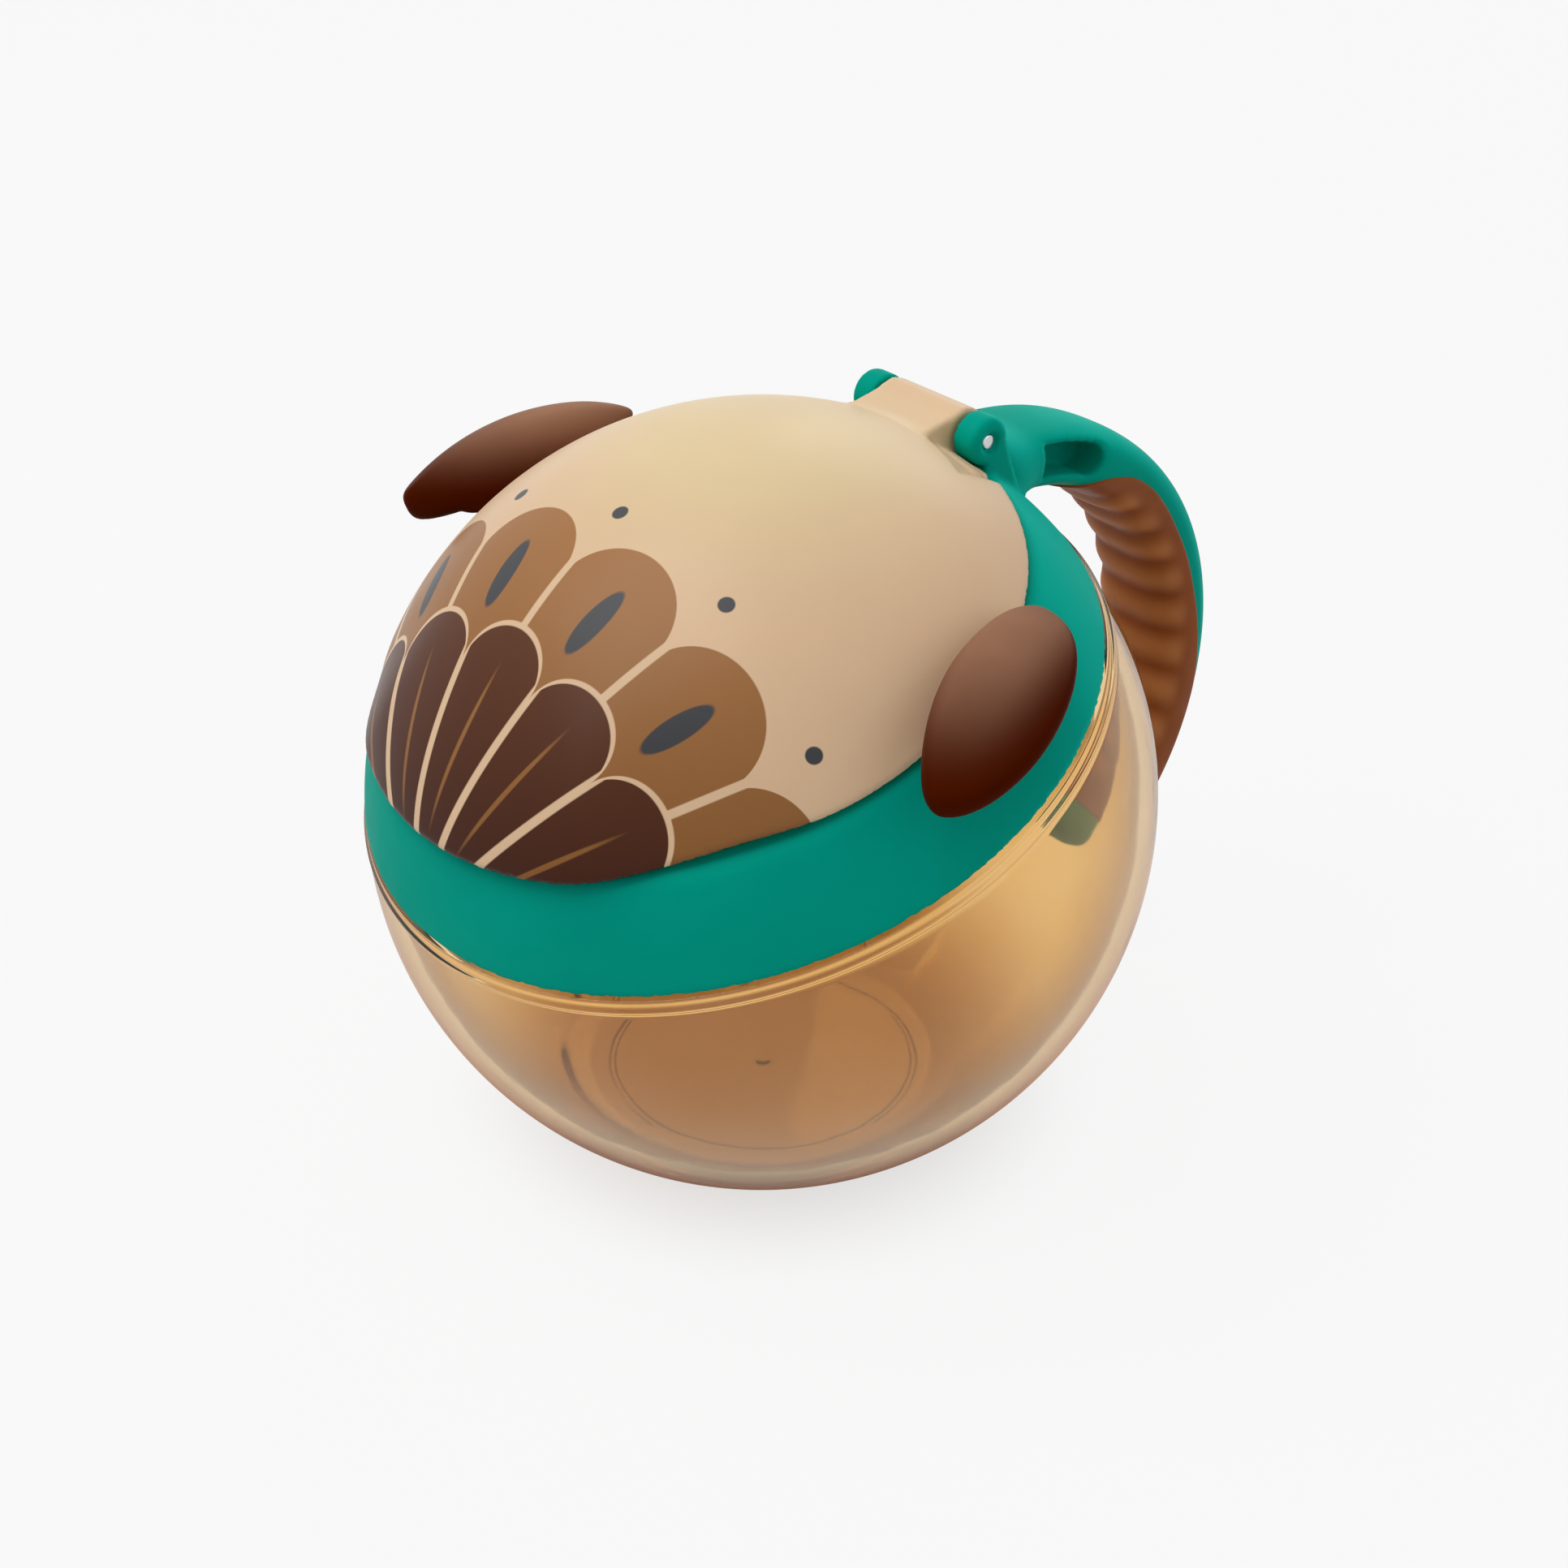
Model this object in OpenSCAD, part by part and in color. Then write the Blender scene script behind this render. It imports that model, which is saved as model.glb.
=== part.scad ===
// Toddler snack container: a ball-shaped bowl with a slanted mouth, a screw collar that carries
// the hinge and a free-ended grab handle, a ring of soft flaps in the mouth, and a domed flip lid
// with two soft side lobes. +Z is up, the lid's thumb lip faces -Y and the handle is on +Y.

/* [Body] */
// Outer diameter of the ball that bowl, collar and lid make together
ball_d = 92; // [90:0.5:94]
// Height of the ball's centre over the table
centre_h = 40; // [39:0.25:41]
// Forward slant of the mouth, in degrees
tilt = 20.3; // [18:0.1:22]
// Wall of the bowl and of the lid
wall = 2; // [1.8:0.1:2.2]

/* [Collar] */
// Height of the collar's lower edge over the ball's centre, along the slanted axis
collar_low = 14.6; // [14.2:0.1:15]
// Height of the collar's top face over the ball's centre, along the slanted axis
collar_top = 26.6; // [26.4:0.1:26.8]
// Radius of the collar's threaded bore
bore_r = 36; // [35.8:0.1:36.2]
// Radius of the mouth
mouth_r = 33.6; // [33.4:0.1:33.8]
// Lift of the collar in one full turn of its three-start thread
thread_lead = 16; // [14:1:16]

/* [Hinge] */
// Distance of the pin behind the slanted axis
pin_back = 37.8; // [37.6:0.1:38]
// Height of the pin over the ball's centre, along the slanted axis
pin_up = 29.2; // [29:0.1:29.4]
// Diameter of the steel pin
pin_d = 2; // [1.8:0.1:2.2]
// Radius of the hinge knuckles
knuckle_r = 2.9; // [2.7:0.1:3]
// Half the width of the lid's knuckle
tab_half = 6.6; // [6.4:0.1:6.8]
// Half the width over the collar's two lugs
lug_half = 10.3; // [10.1:0.1:10.6]

/* [Handle] */
// Radius of the handle's centre line
handle_r = 32.4; // [31.5:0.1:33]
// Width of the handle
handle_w = 14; // [13:0.5:15]
// Thickness of the handle
handle_t = 8.3; // [8:0.1:8.6]
// Angle of the handle's free end below the horizontal
handle_end = 50; // [44:1:52]

/* [Flaps] */
// Number of soft flaps in the mouth
flap_count = 6; // [6]
// Distance from the mouth's axis to a flap's root
flap_root = 23; // [22:0.5:23.5]
// Thickness of the flaps
flap_t = 1.2; // [1:0.1:1.3]

/* [Side lobes] */
// Length of a lobe, from its front end to its back end
lobe_len = 30.3; // [29.8:0.1:30.8]
// Height of a lobe, from its root to its free edge
lobe_h = 12.9; // [12.6:0.1:13.2]
// Thickness of a lobe at its crest
lobe_t = 7.4; // [7.2:0.1:7.6]
// Outward flare of a lobe's free edge, in degrees
lobe_flare = 46.3; // [45.5:0.1:47]

/* [Hidden] */
$fn = 96;
ball_r = ball_d / 2;
floor_t = 2.4;          // bottom of the bowl
groove_r = 20.3;        // groove that rings the underside
groove_w = 1;
groove_depth = 0.5;

// Screw neck of the bowl
seam = 0.3;             // gap under the collar's edge
neck_r = 34.4;
neck_in = 32.4;
neck_top = 20.2;
seal_t = 1;
ridge_out = 35.6;       // crest of the neck's thread
ridge_in = 34.8;        // crest of the collar's thread
ridge_root = 0.75;      // half the thread's height at its root
ridge_crest = 0.45;     // half the thread's height at its crest
starts = 3;
neck_ridge_w = 17.1;    // height of the thread's lower end
neck_ridge_span = 50;
collar_ridge_skip = 24; // the collar's thread starts this far up the neck's
ridge_drop = 1.9;       // and runs this far under it
ridge_step = 5;

// Stack inside the collar: seal, snap ring, flap ring, top flange
retainer_t = 1;
retainer_in = 33;
rim_t = 1.6;
rim_in = 33;
rim_r = 35.6;
flange_low = neck_top + seal_t + retainer_t + rim_t;
collar_wall = 1.8;
skirt_wall = 1.6;
hollow_top = 22.8;

// Lid
lid_gap = 0.2;
lid_low = collar_top + lid_gap;
lid_r = ball_r + 0.7;
lid_drop = 0.6;         // the lid's ball is centred this far under the body's
plug_r = 32.9;
plug_in = 31.4;
plug_low = 24.5;
shelf_t = 1;
seal_in = 34.2;
seal_out = 35.8;
seal_low = collar_top + 0.05;
lip_r = lid_r + 1.2;
lip_high = 31.5;
lip_half_angle = 38;

// Hinge details
pin_r = pin_d / 2;
tab_bore_r = pin_r + 0.06;
press = 0.01;
pin_half = lug_half - 0.4;
mouth_of_hole_r = 1.4;
lug_in = tab_half + 0.2;
relief_r = 3.7;         // room round a lug in the lid
relief_half = lug_half + 0.4;
house_r = 5.1;          // wall round that room
house_half = relief_half + 1.3;
saddle_r = knuckle_r + 0.35;
tab_crown = [32.3, 33]; // where the lid's knuckle meets the dome

// Handle: a stadium section swept round an arc, measured in the upright frame from the ball's centre
handle_y = 34.7;
handle_z = 0.7;
handle_start = 97;
grip_top = 66;
grip_end = 4 - handle_end;
grip_skin = 0.8;        // the grip stands this far past the section's middle
half_t = handle_t / 2;
pocket_r = 2.15;
pocket_from = 84;
pocket_to = 69;
pocket_floor = 1.5;

// Flaps
slit = 0.3;             // half the slit between two flaps
root_gap = 0.1;         // between a flap's round root and the ring
root_inset = 0.4;       // the round root is this much shorter at each end
tip_gap = 1.2;
half_angle = 180 / flap_count;
flap_top = flange_low;
web_low = flap_top - flap_t;
flap_axis = flap_root - root_gap - flap_t / 2;

// Side lobes
lobe_phi = 100.2;       // round the slanted axis, from the front
lobe_polar = 53.9;      // down from the slanted axis
lobe_reach = 51.1;      // from the ball's centre to the lobe's middle
lobe_turn = 12;         // its front end hangs lower than its back end
lobe_root = 5.4;        // from the lobe's middle to its root
lobe_under = 2.3;       // from the lobe's middle to its flat underside
lobe_gap = 0.05;
crest_at = [-2.6, -1.95];
crown_across = 11.7;    // radii of the lobe's domed top
crown_along = 27.8;
foot_at = [-2, 1.5, 46.5];
foot_size = [3.6, 10, 4];
peg_spots = [[-2, -3.5], [-2, 5.5]];
peg_r = 1.45;
peg_hole_r = 1.5;
peg_tip = 45.1;         // the pegs end inside the lid's wall
peg_top = 48.5;

teal = [0, 0.62, 0.53];
amber = [0.86, 0.68, 0.46, 0.6];
sand = [0.87, 0.75, 0.62];
cocoa = [0.3, 0.12, 0.05];
bark = [0.5, 0.3, 0.15];
cream = [0.95, 0.93, 0.88];

// ---- frames and simple shapes ----

// From the ball's centre, upright
module upright() translate([0, 0, centre_h]) children();

// From the ball's centre, with +Z along the slanted axis of the mouth
module slanted() upright() rotate([tilt, 0, 0]) children();

// Draws a side view, (back, up), as a solid across the object
module across(width) rotate([90, 0, 90]) linear_extrude(height = width, center = true) children();

// A slice of the slanted frame between two heights
module slice(low, high, r = 2 * ball_r) translate([0, 0, low]) cylinder(r = r, h = high - low);

// A flat ring between two radii and two heights
module ring(r_out, r_in, low, high) {
    difference() {
        slice(low, high, r_out);
        slice(low - 1, high + 1, r_in);
    }
}

// A ball centred on the slanted axis
module ball(r, drop = 0) translate([0, 0, -drop]) sphere(r = r);

// A cylinder along the hinge, in the slanted frame
module hinge_bar(r, half) translate([0, pin_back, pin_up]) rotate([0, 90, 0]) cylinder(r = r, h = 2 * half, center = true);

// Both sides of the object
module both_sides() {
    children();
    mirror([1, 0, 0]) children();
}

// One ridge of thread: a trapezoid swept up a helix from w_low, from r_base to r_crest
module ridge(r_base, r_crest, from, span, w_low) {
    steps = ceil(span / ridge_step);
    corners = [[r_base, -ridge_root], [r_crest, -ridge_crest], [r_crest, ridge_crest], [r_base, ridge_root]];
    points = [for (i = [0 : steps], c = corners)
        let (a = span * i / steps)
        [c[0] * cos(from + a), c[0] * sin(from + a), w_low + thread_lead * a / 360 + c[1]]];
    sides = [for (i = [0 : steps - 1], k = [0 : 3])
        let (here = 4 * i + k, beside = 4 * i + (k + 1) % 4)
        [here, beside, beside + 4, here + 4]];
    ends = [[3, 2, 1, 0], [4 * steps, 4 * steps + 1, 4 * steps + 2, 4 * steps + 3]];
    split_sides = [for (s = sides) each [[s[0], s[1], s[2]], [s[0], s[2], s[3]]]];
    inside_out = r_crest < r_base;
    faces = concat(split_sides, ends);
    polyhedron(points, [for (f = faces) inside_out ? [for (k = [len(f) - 1 : -1 : 0]) f[k]] : f]);
}

// ---- bowl ----

module bowl_outside() {
    upright() intersection() {
        sphere(r = ball_r);
        rotate([tilt, 0, 0]) slice(-2 * ball_r, collar_low - seam);
        translate([0, 0, -centre_h]) slice(0, 2 * ball_d);
    }
}

module bowl_inside() {
    upright() intersection() {
        sphere(r = ball_r - wall);
        rotate([tilt, 0, 0]) slice(-2 * ball_r, collar_low - seam - wall);
        translate([0, 0, -centre_h]) slice(floor_t, 2 * ball_d);
    }
}

module bowl() {
    color(amber) {
        difference() {
            union() {
                bowl_outside();
                slanted() slice(collar_low - wall, neck_top, neck_r);
            }
            bowl_inside();
            slanted() slice(collar_low - 2 * wall, neck_top + 1, neck_in);
            translate([0, 0, -1]) ring(groove_r + groove_w, groove_r, 0, 1 + groove_depth);
        }
        slanted() for (k = [0 : starts - 1])
            ridge(neck_r - 0.8, ridge_out, 360 * k / starts, neck_ridge_span, neck_ridge_w);
    }
}

module bowl_seal() {
    color(cream) slanted() ring(neck_r - 0.1, neck_in + 0.2, neck_top, neck_top + seal_t);
}

// ---- collar, with the hinge lugs and the handle ----

module collar_band() {
    difference() {
        intersection() {
            ball(ball_r);
            slice(collar_low, collar_top);
        }
        slice(0, flange_low, bore_r);
        slice(0, collar_top + 1, mouth_r);
        // hollow between the outer wall and the threaded skirt
        difference() {
            intersection() {
                ball(ball_r - collar_wall);
                slice(collar_low - 1, hollow_top);
            }
            slice(collar_low - 2, hollow_top + 1, bore_r + skirt_wall);
        }
    }
}

module collar_threads() {
    lift = thread_lead * collar_ridge_skip / 360;
    for (k = [0 : starts - 1])
        ridge(bore_r + 0.8, ridge_in, 360 * k / starts + collar_ridge_skip,
              neck_ridge_span - collar_ridge_skip, neck_ridge_w - ridge_drop + lift);
}

// A lug: the knuckle and the web that runs from it down to the band
module lugs() {
    web = [[pin_back - knuckle_r, pin_up], [40.05, 30.9], [40.05, 20.3], [37.5, 21], [35.9, 25]];
    difference() {
        union() {
            hinge_bar(knuckle_r, lug_half);
            intersection() {
                across(2 * lug_half) polygon(web);
                ball(ball_r + 6);
            }
        }
        cube([2 * lug_in, 4 * ball_r, 4 * ball_r], center = true);
        slice(0, collar_top - 1, mouth_r + 1);
    }
}

// Turns a drawing in the arc's own plane into the handle's place
module on_handle() translate([0, handle_y, handle_z]) rotate([90, 0, 90]) children();

// The stretch of the handle's arc between two angles
module handle_arc(from, to) {
    on_handle() rotate([0, 0, from]) rotate_extrude(angle = to - from) translate([handle_r, 0]) {
        for (side = [-1, 1]) translate([0, side * (handle_w / 2 - half_t)]) circle(r = half_t);
        square([handle_t, handle_w - handle_t], center = true);
    }
}

// Everything nearer to the arc's centre than the grip's outer face, over the grip's stretch
module grip_zone() {
    on_handle() rotate([0, 0, grip_end]) rotate_extrude(angle = grip_top - grip_end)
        translate([handle_r - handle_t, -handle_w]) square([handle_t + grip_skin, 2 * handle_w]);
}

module handle_tip() {
    on_handle() rotate([0, 0, -handle_end]) translate([handle_r, 0, 0]) {
        cylinder(r = half_t, h = handle_w - handle_t, center = true);
        for (side = [-1, 1]) translate([0, 0, side * (handle_w / 2 - half_t)]) sphere(r = half_t);
    }
}

// The thick root that joins handle and lugs
module handle_root() {
    crest = [[26.5, 36.5], [28.4, 41.3], [30.5, 39.9], [33, 38.4], [36.5, 37.2], [36.5, 29.5], [33, 30.5]];
    across(handle_w) polygon(crest);
}

// Side pocket near the root, square towards the hinge and round towards the grip
module side_pocket() {
    on_handle() translate([0, 0, pocket_floor]) {
        rotate([0, 0, pocket_to]) rotate_extrude(angle = pocket_from - pocket_to)
            translate([handle_r - pocket_r, 0]) square([2 * pocket_r, handle_w]);
        rotate([0, 0, pocket_to]) translate([handle_r, 0, 0]) cylinder(r = pocket_r, h = handle_w);
    }
}

module handle() {
    difference() {
        union() {
            upright() {
                handle_arc(-handle_end, handle_start);
                handle_tip();
                handle_root();
            }
            slanted() intersection() {
                across(2 * lug_half) polygon([[37, 22], [41.8, 18.5], [42.5, 26], [40.7, 29], [37, 28]]);
                ball(ball_r + 6);
            }
        }
        upright() {
            both_sides() side_pocket();
            grip_zone();
        }
        slanted() {
            ball(ball_r - collar_wall);
            // the lid's rim passes here
            translate([0, pin_back - 50, pin_up]) cube([2 * lug_in, 100, 2 * (pin_up - collar_top)], center = true);
        }
    }
}

module collar() {
    color(teal) difference() {
        union() {
            slanted() {
                collar_band();
                lugs();
            }
            handle();
        }
        slanted() {
            hinge_bar(saddle_r, lug_in);
            hinge_bar(pin_r - press, pin_half);
            both_sides() translate([pin_half, pin_back, pin_up]) rotate([0, 90, 0])
                cylinder(r = mouth_of_hole_r, h = 2 * (lug_half - pin_half));
        }
    }
    color(teal) slanted() collar_threads();
}

module handle_grip() {
    color(bark) upright() intersection() {
        handle_arc(-handle_end, handle_start);
        grip_zone();
    }
}

module hinge_pin() {
    color("silver") slanted() hinge_bar(pin_r, pin_half);
}

module retainer_ring() {
    color(cream) slanted() ring(bore_r, retainer_in, neck_top + seal_t, neck_top + seal_t + retainer_t);
}

// ---- soft flaps ----

module flap_ring() {
    color(cream) slanted() difference() {
        slice(flap_top - rim_t, flap_top, rim_r);
        slice(flap_top - rim_t - 1, web_low, rim_in);
        translate([0, 0, web_low - 1]) cylinder(r = flap_root / cos(half_angle), h = flap_t + 2, $fn = flap_count);
    }
}

// A flap is a wedge whose root is rounded about the line that it bends on
module flap(index) {
    root_half = flap_axis * tan(half_angle) - slit / cos(half_angle);
    tip_half = tip_gap * tan(half_angle) - slit / cos(half_angle);
    bead_half = root_half - root_inset;
    outline = [[tip_gap, -tip_half], [flap_axis, -root_half], [flap_axis, -bead_half], [flap_root, -bead_half],
        [flap_root, bead_half], [flap_axis, bead_half], [flap_axis, root_half], [tip_gap, tip_half]];
    color(cream) slanted() rotate([0, 0, (2 * index - 1) * half_angle]) intersection() {
        translate([0, 0, web_low - 1]) linear_extrude(height = flap_t + 2) polygon(outline);
        translate([0, 0, web_low + flap_t / 2]) rotate([90, 0, 0])
            linear_extrude(height = 2 * flap_root, center = true) {
                translate([flap_axis, 0]) circle(r = flap_t / 2);
                translate([0, -flap_t / 2]) square([flap_axis, flap_t]);
            }
    }
}

// ---- lid ----

module lid_dome() {
    difference() {
        intersection() {
            ball(lid_r, lid_drop);
            slice(lid_low, 2 * ball_r);
        }
        ball(lid_r - wall, lid_drop);
    }
    // shelf and plug inside the rim
    intersection() {
        ball(lid_r - 1, lid_drop);
        ring(ball_r, plug_in, lid_low, lid_low + shelf_t);
    }
    ring(plug_r, plug_in, plug_low, lid_low + shelf_t);
}

// Thumb lip that stands proud of the rim at the front
module thumb_lip() {
    intersection() {
        difference() {
            ball(lip_r, lid_drop);
            ball(lid_r - 0.1, lid_drop);
        }
        slice(lid_low, lip_high);
        rotate([0, 0, -90 - lip_half_angle]) rotate_extrude(angle = 2 * lip_half_angle) square([ball_d, ball_d]);
    }
}

// Walls round the lugs' relief, and the knuckle that turns on the pin
module lid_knuckle() {
    intersection() {
        hinge_bar(house_r, house_half);
        ball(lid_r - 0.1, lid_drop);
        slice(lid_low, 2 * ball_r);
        translate([0, pin_back - 50, pin_up]) cube([100, 100, 100], center = true);
    }
    hinge_bar(knuckle_r, tab_half);
    across(2 * tab_half) polygon([[pin_back, lid_low + lid_gap], [pin_back, pin_up],
        [pin_back + 0.6, pin_up + 2.8], tab_crown, [31, 30], [33, lid_low]]);
}

module lid_relief() {
    both_sides() translate([(lug_in + relief_half) / 2 - 0.1, pin_back, pin_up]) rotate([0, 90, 0])
        cylinder(r = relief_r, h = relief_half - lug_in + 0.2, center = true);
}

module peg_holes() {
    both_sides() for (spot = peg_spots) peg(spot, peg_hole_r, peg_tip - lobe_gap, peg_top);
}

module lid() {
    color(sand) slanted() difference() {
        union() {
            lid_dome();
            thumb_lip();
            lid_knuckle();
        }
        lid_relief();
        hinge_bar(tab_bore_r, tab_half + 1);
        peg_holes();
        ring(seal_out, seal_in, lid_low - 1, seal_low + 0.8);
    }
}

module lid_seal() {
    color(cream) slanted() ring(seal_out, seal_in, seal_low, seal_low + 0.8);
}

// ---- side lobes ----

// Points +Z out of the ball at the right lobe's middle, with +X down the ball
module lobe_place() rotate([0, 0, lobe_phi - 90]) rotate([0, lobe_polar, 0]) children();

// One peg of a lobe, between two distances from the ball's centre
module peg(spot, r, low, high) lobe_place() translate([spot[0], spot[1], low]) cylinder(r = r, h = high - low);

// Two half ellipses: the free side, and the shorter side towards the root
module lobe_outline() {
    for (side = [[0, lobe_h - lobe_root], [180, lobe_root]]) rotate([0, 0, side[0]]) intersection() {
        scale([2 * side[1] / lobe_len, 1]) circle(r = lobe_len / 2);
        translate([0, -lobe_len]) square(2 * lobe_len);
    }
}

// A ring whose outer side is the lobe's domed top
module lobe_crown() {
    translate([crest_at[0], crest_at[1], lobe_t - lobe_under - crown_along]) rotate([0, 90, 0])
        rotate_extrude() translate([crown_along - crown_across, 0]) circle(r = crown_across);
}

module lobe() {
    color(cocoa) slanted() {
        difference() {
            lobe_place() {
                translate([0, 0, lobe_reach]) rotate([0, -lobe_flare, 0]) rotate([0, 0, lobe_turn]) intersection() {
                    translate([0, 0, -lobe_under]) linear_extrude(height = 2 * lobe_t) lobe_outline();
                    lobe_crown();
                }
                translate(foot_at) scale(foot_size) sphere(r = 1);
            }
            ball(lid_r + lobe_gap, lid_drop);
        }
        for (spot = peg_spots) peg(spot, peg_r, peg_tip, peg_top);
    }
}

module lobe_right() lobe();

module lobe_left() mirror([1, 0, 0]) lobe();

bowl();
bowl_seal();
collar();
handle_grip();
hinge_pin();
retainer_ring();
flap_ring();
flap(1);  // flap_1
flap(2);  // flap_2
flap(3);  // flap_3
flap(4);  // flap_4
flap(5);  // flap_5
flap(6);  // flap_6
lid();
lid_seal();
lobe_left();
lobe_right();
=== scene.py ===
import math
import bpy
import numpy as np
from mathutils import Matrix, Vector


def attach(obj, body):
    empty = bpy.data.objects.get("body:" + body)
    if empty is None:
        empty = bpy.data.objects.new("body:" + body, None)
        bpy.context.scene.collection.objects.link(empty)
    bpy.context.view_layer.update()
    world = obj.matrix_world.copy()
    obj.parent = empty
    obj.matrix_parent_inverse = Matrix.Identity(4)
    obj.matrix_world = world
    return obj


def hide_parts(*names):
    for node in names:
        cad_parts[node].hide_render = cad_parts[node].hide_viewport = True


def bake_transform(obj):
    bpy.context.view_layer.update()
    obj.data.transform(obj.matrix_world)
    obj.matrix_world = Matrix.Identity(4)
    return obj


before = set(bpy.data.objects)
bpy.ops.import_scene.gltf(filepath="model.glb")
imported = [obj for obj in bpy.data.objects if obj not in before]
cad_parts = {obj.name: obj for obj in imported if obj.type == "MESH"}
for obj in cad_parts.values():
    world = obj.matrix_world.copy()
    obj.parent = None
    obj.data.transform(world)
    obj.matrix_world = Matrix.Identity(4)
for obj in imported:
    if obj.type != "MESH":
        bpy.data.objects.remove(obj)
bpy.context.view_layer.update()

mm = 0.001
ballUp = 40.0  # the ball's centre over the table, in mm
tilt = math.radians(20.3)  # forward slant of the mouth
ballR = 46.0
collarLow, collarTop = 14.6, 26.6  # along the slanted axis, from the ball's centre
pinBack, pinUp = 37.8, 29.2  # the hinge pin, in the slanted frame
arcBack, arcUp, arcR = 34.7, 0.7, 32.4  # the handle's arc, upright, from the ball's centre


def tint(red, green, blue, alpha=1.0):  # 0-255 screen colour to the linear one that shaders take
    def linear(v):
        v /= 255
        return v / 12.92 if v <= 0.04045 else ((v + 0.055) / 1.055) ** 2.4
    return (linear(red), linear(green), linear(blue), alpha)


class Wire:  # a node's output, which counts like a number
    def __init__(self, socket):
        self.socket, self.tree = socket, socket.id_data

    def __add__(self, other):
        return maths("ADD", self, other)

    def __sub__(self, other):
        return maths("SUBTRACT", self, other)

    def __rsub__(self, other):
        return maths("SUBTRACT", other, self)

    def __mul__(self, other):
        return maths("MULTIPLY", self, other)

    def __truediv__(self, other):
        return maths("DIVIDE", self, other)


def put(tree, kind, inputs=None, **settings):
    made = tree.nodes.new(kind)
    for name, value in settings.items():
        setattr(made, name, value)
    for key, value in (inputs or {}).items():
        if isinstance(value, Wire):
            tree.links.new(value.socket, made.inputs[key])
        else:
            made.inputs[key].default_value = value
    return made


def wire(tree, kind, inputs=None, output=0, **settings):  # with no tree given, the one that an input is in
    tree = tree or next(value.tree for value in inputs.values() if isinstance(value, Wire))
    return Wire(put(tree, kind, inputs, **settings).outputs[output])


def maths(operation, *values, clamp=False):
    return wire(None, "ShaderNodeMath", dict(enumerate(values)), operation=operation, use_clamp=clamp)


def vectorMaths(operation, *values, output=0):
    return wire(None, "ShaderNodeVectorMath", dict(enumerate(values)), output, operation=operation)


def dot(vector, *direction):
    return vectorMaths("DOT_PRODUCT", vector, direction, output=1)


def parts(vector):  # its x, y and z
    return [Wire(socket) for socket in put(vector.tree, "ShaderNodeSeparateXYZ", {0: vector}).outputs]


def between(value, low, high, toLow=0.0, toHigh=1.0, smooth=True):
    return wire(None, "ShaderNodeMapRange",
                {"Value": value, "From Min": low, "From Max": high, "To Min": toLow, "To Max": toHigh},
                interpolation_type="SMOOTHSTEP" if smooth else "LINEAR")


def blendColour(share, first, second, how="MIX"):
    return wire(None, "ShaderNodeMix", {0: share, 6: first, 7: second}, 2, data_type="RGBA", blend_type=how)


def emptyTree(owner):  # a material's or the world's node tree, cleared
    owner.use_nodes = True
    owner.node_tree.nodes.clear()
    return owner.node_tree


# Camera, light and stage
studio = {
    "azimuth": 49.351, "elevation": 30.475, "lens": 63.134,
    "cameraFromBall": (211.85, -178.46, 164.22),
    "backdrop": 0.94,  # what the camera sees of floor and world
    "floorLight": 0.967, "floorColour": 0.7, "floorGlow": 0.93, "floorHalf": 6.0,
    # the contact values paint a shadow on the floor round where the bowl stands
    "contactShadowGlow": 0.68, "contactShadowFrom": 0.018, "contactShadowTo": 0.042,
    "worldStrength": 0.42,
}
lamps = {  # power, size and place
    "keyLamp": (5.0, 0.7, (-0.25, -0.35, 0.85)),
    "fillLamp": (0.7, 0.6, (0.75, 0.25, 0.45)),
    "rimLamp": (1.0, 0.5, (-0.4, 0.7, 0.5)),
}


def grey(level):
    return (level, level, level, 1)


def newObject(name, data):
    made = bpy.data.objects.new(name, data)
    bpy.context.scene.collection.objects.link(made)
    return made


def makeCamera():
    camera = newObject("camera", bpy.data.cameras.new("camera"))
    camera.data.sensor_width = 36
    camera.data.lens = studio["lens"]
    camera.data.clip_start = 0.01
    camera.location = Vector(studio["cameraFromBall"]) * mm + Vector((0, 0, ballUp * mm))
    camera.rotation_euler = (math.radians(90 - studio["elevation"]), 0, math.radians(studio["azimuth"]))
    bpy.context.scene.camera = camera


def seenDirectly(tree):  # 1 for camera, mirror and glass rays
    path = put(tree, "ShaderNodeLightPath").outputs
    camera, mirror, glass = (Wire(path[f"Is {kind} Ray"]) for kind in ("Camera", "Glossy", "Transmission"))
    return maths("MAXIMUM", maths("MAXIMUM", camera, mirror), glass)


def makeStage():
    world = bpy.data.worlds.new("studio")
    bpy.context.scene.world = world
    tree = emptyTree(world)
    level = blendColour(seenDirectly(tree), grey(studio["worldStrength"]), grey(studio["backdrop"]))
    background = wire(tree, "ShaderNodeBackground", {"Color": level, "Strength": 1.0})
    put(tree, "ShaderNodeOutputWorld", {"Surface": background})

    paint = bpy.data.materials.new("floorPaint")
    tree = emptyTree(paint)
    plain = wire(tree, "ShaderNodeBsdfDiffuse", {"Color": grey(studio["floorColour"])})
    glow = wire(tree, "ShaderNodeEmission", {"Color": grey(studio["floorLight"])})
    place = wire(tree, "ShaderNodeTexCoord", output="Object")
    out = between(vectorMaths("LENGTH", place, output=1), studio["contactShadowFrom"], studio["contactShadowTo"],
                  studio["contactShadowGlow"], studio["floorGlow"])  # painted shadow: darker where the bowl stands
    mixed = wire(tree, "ShaderNodeMixShader", {0: seenDirectly(tree) * out, 1: plain, 2: glow})
    put(tree, "ShaderNodeOutputMaterial", {"Surface": mixed})
    half = studio["floorHalf"]
    mesh = bpy.data.meshes.new("floor")
    mesh.from_pydata([(-half, -half, 0), (half, -half, 0), (half, half, 0), (-half, half, 0)], [], [(0, 1, 2, 3)])
    mesh.materials.append(paint)
    newObject("floor", mesh)


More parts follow.
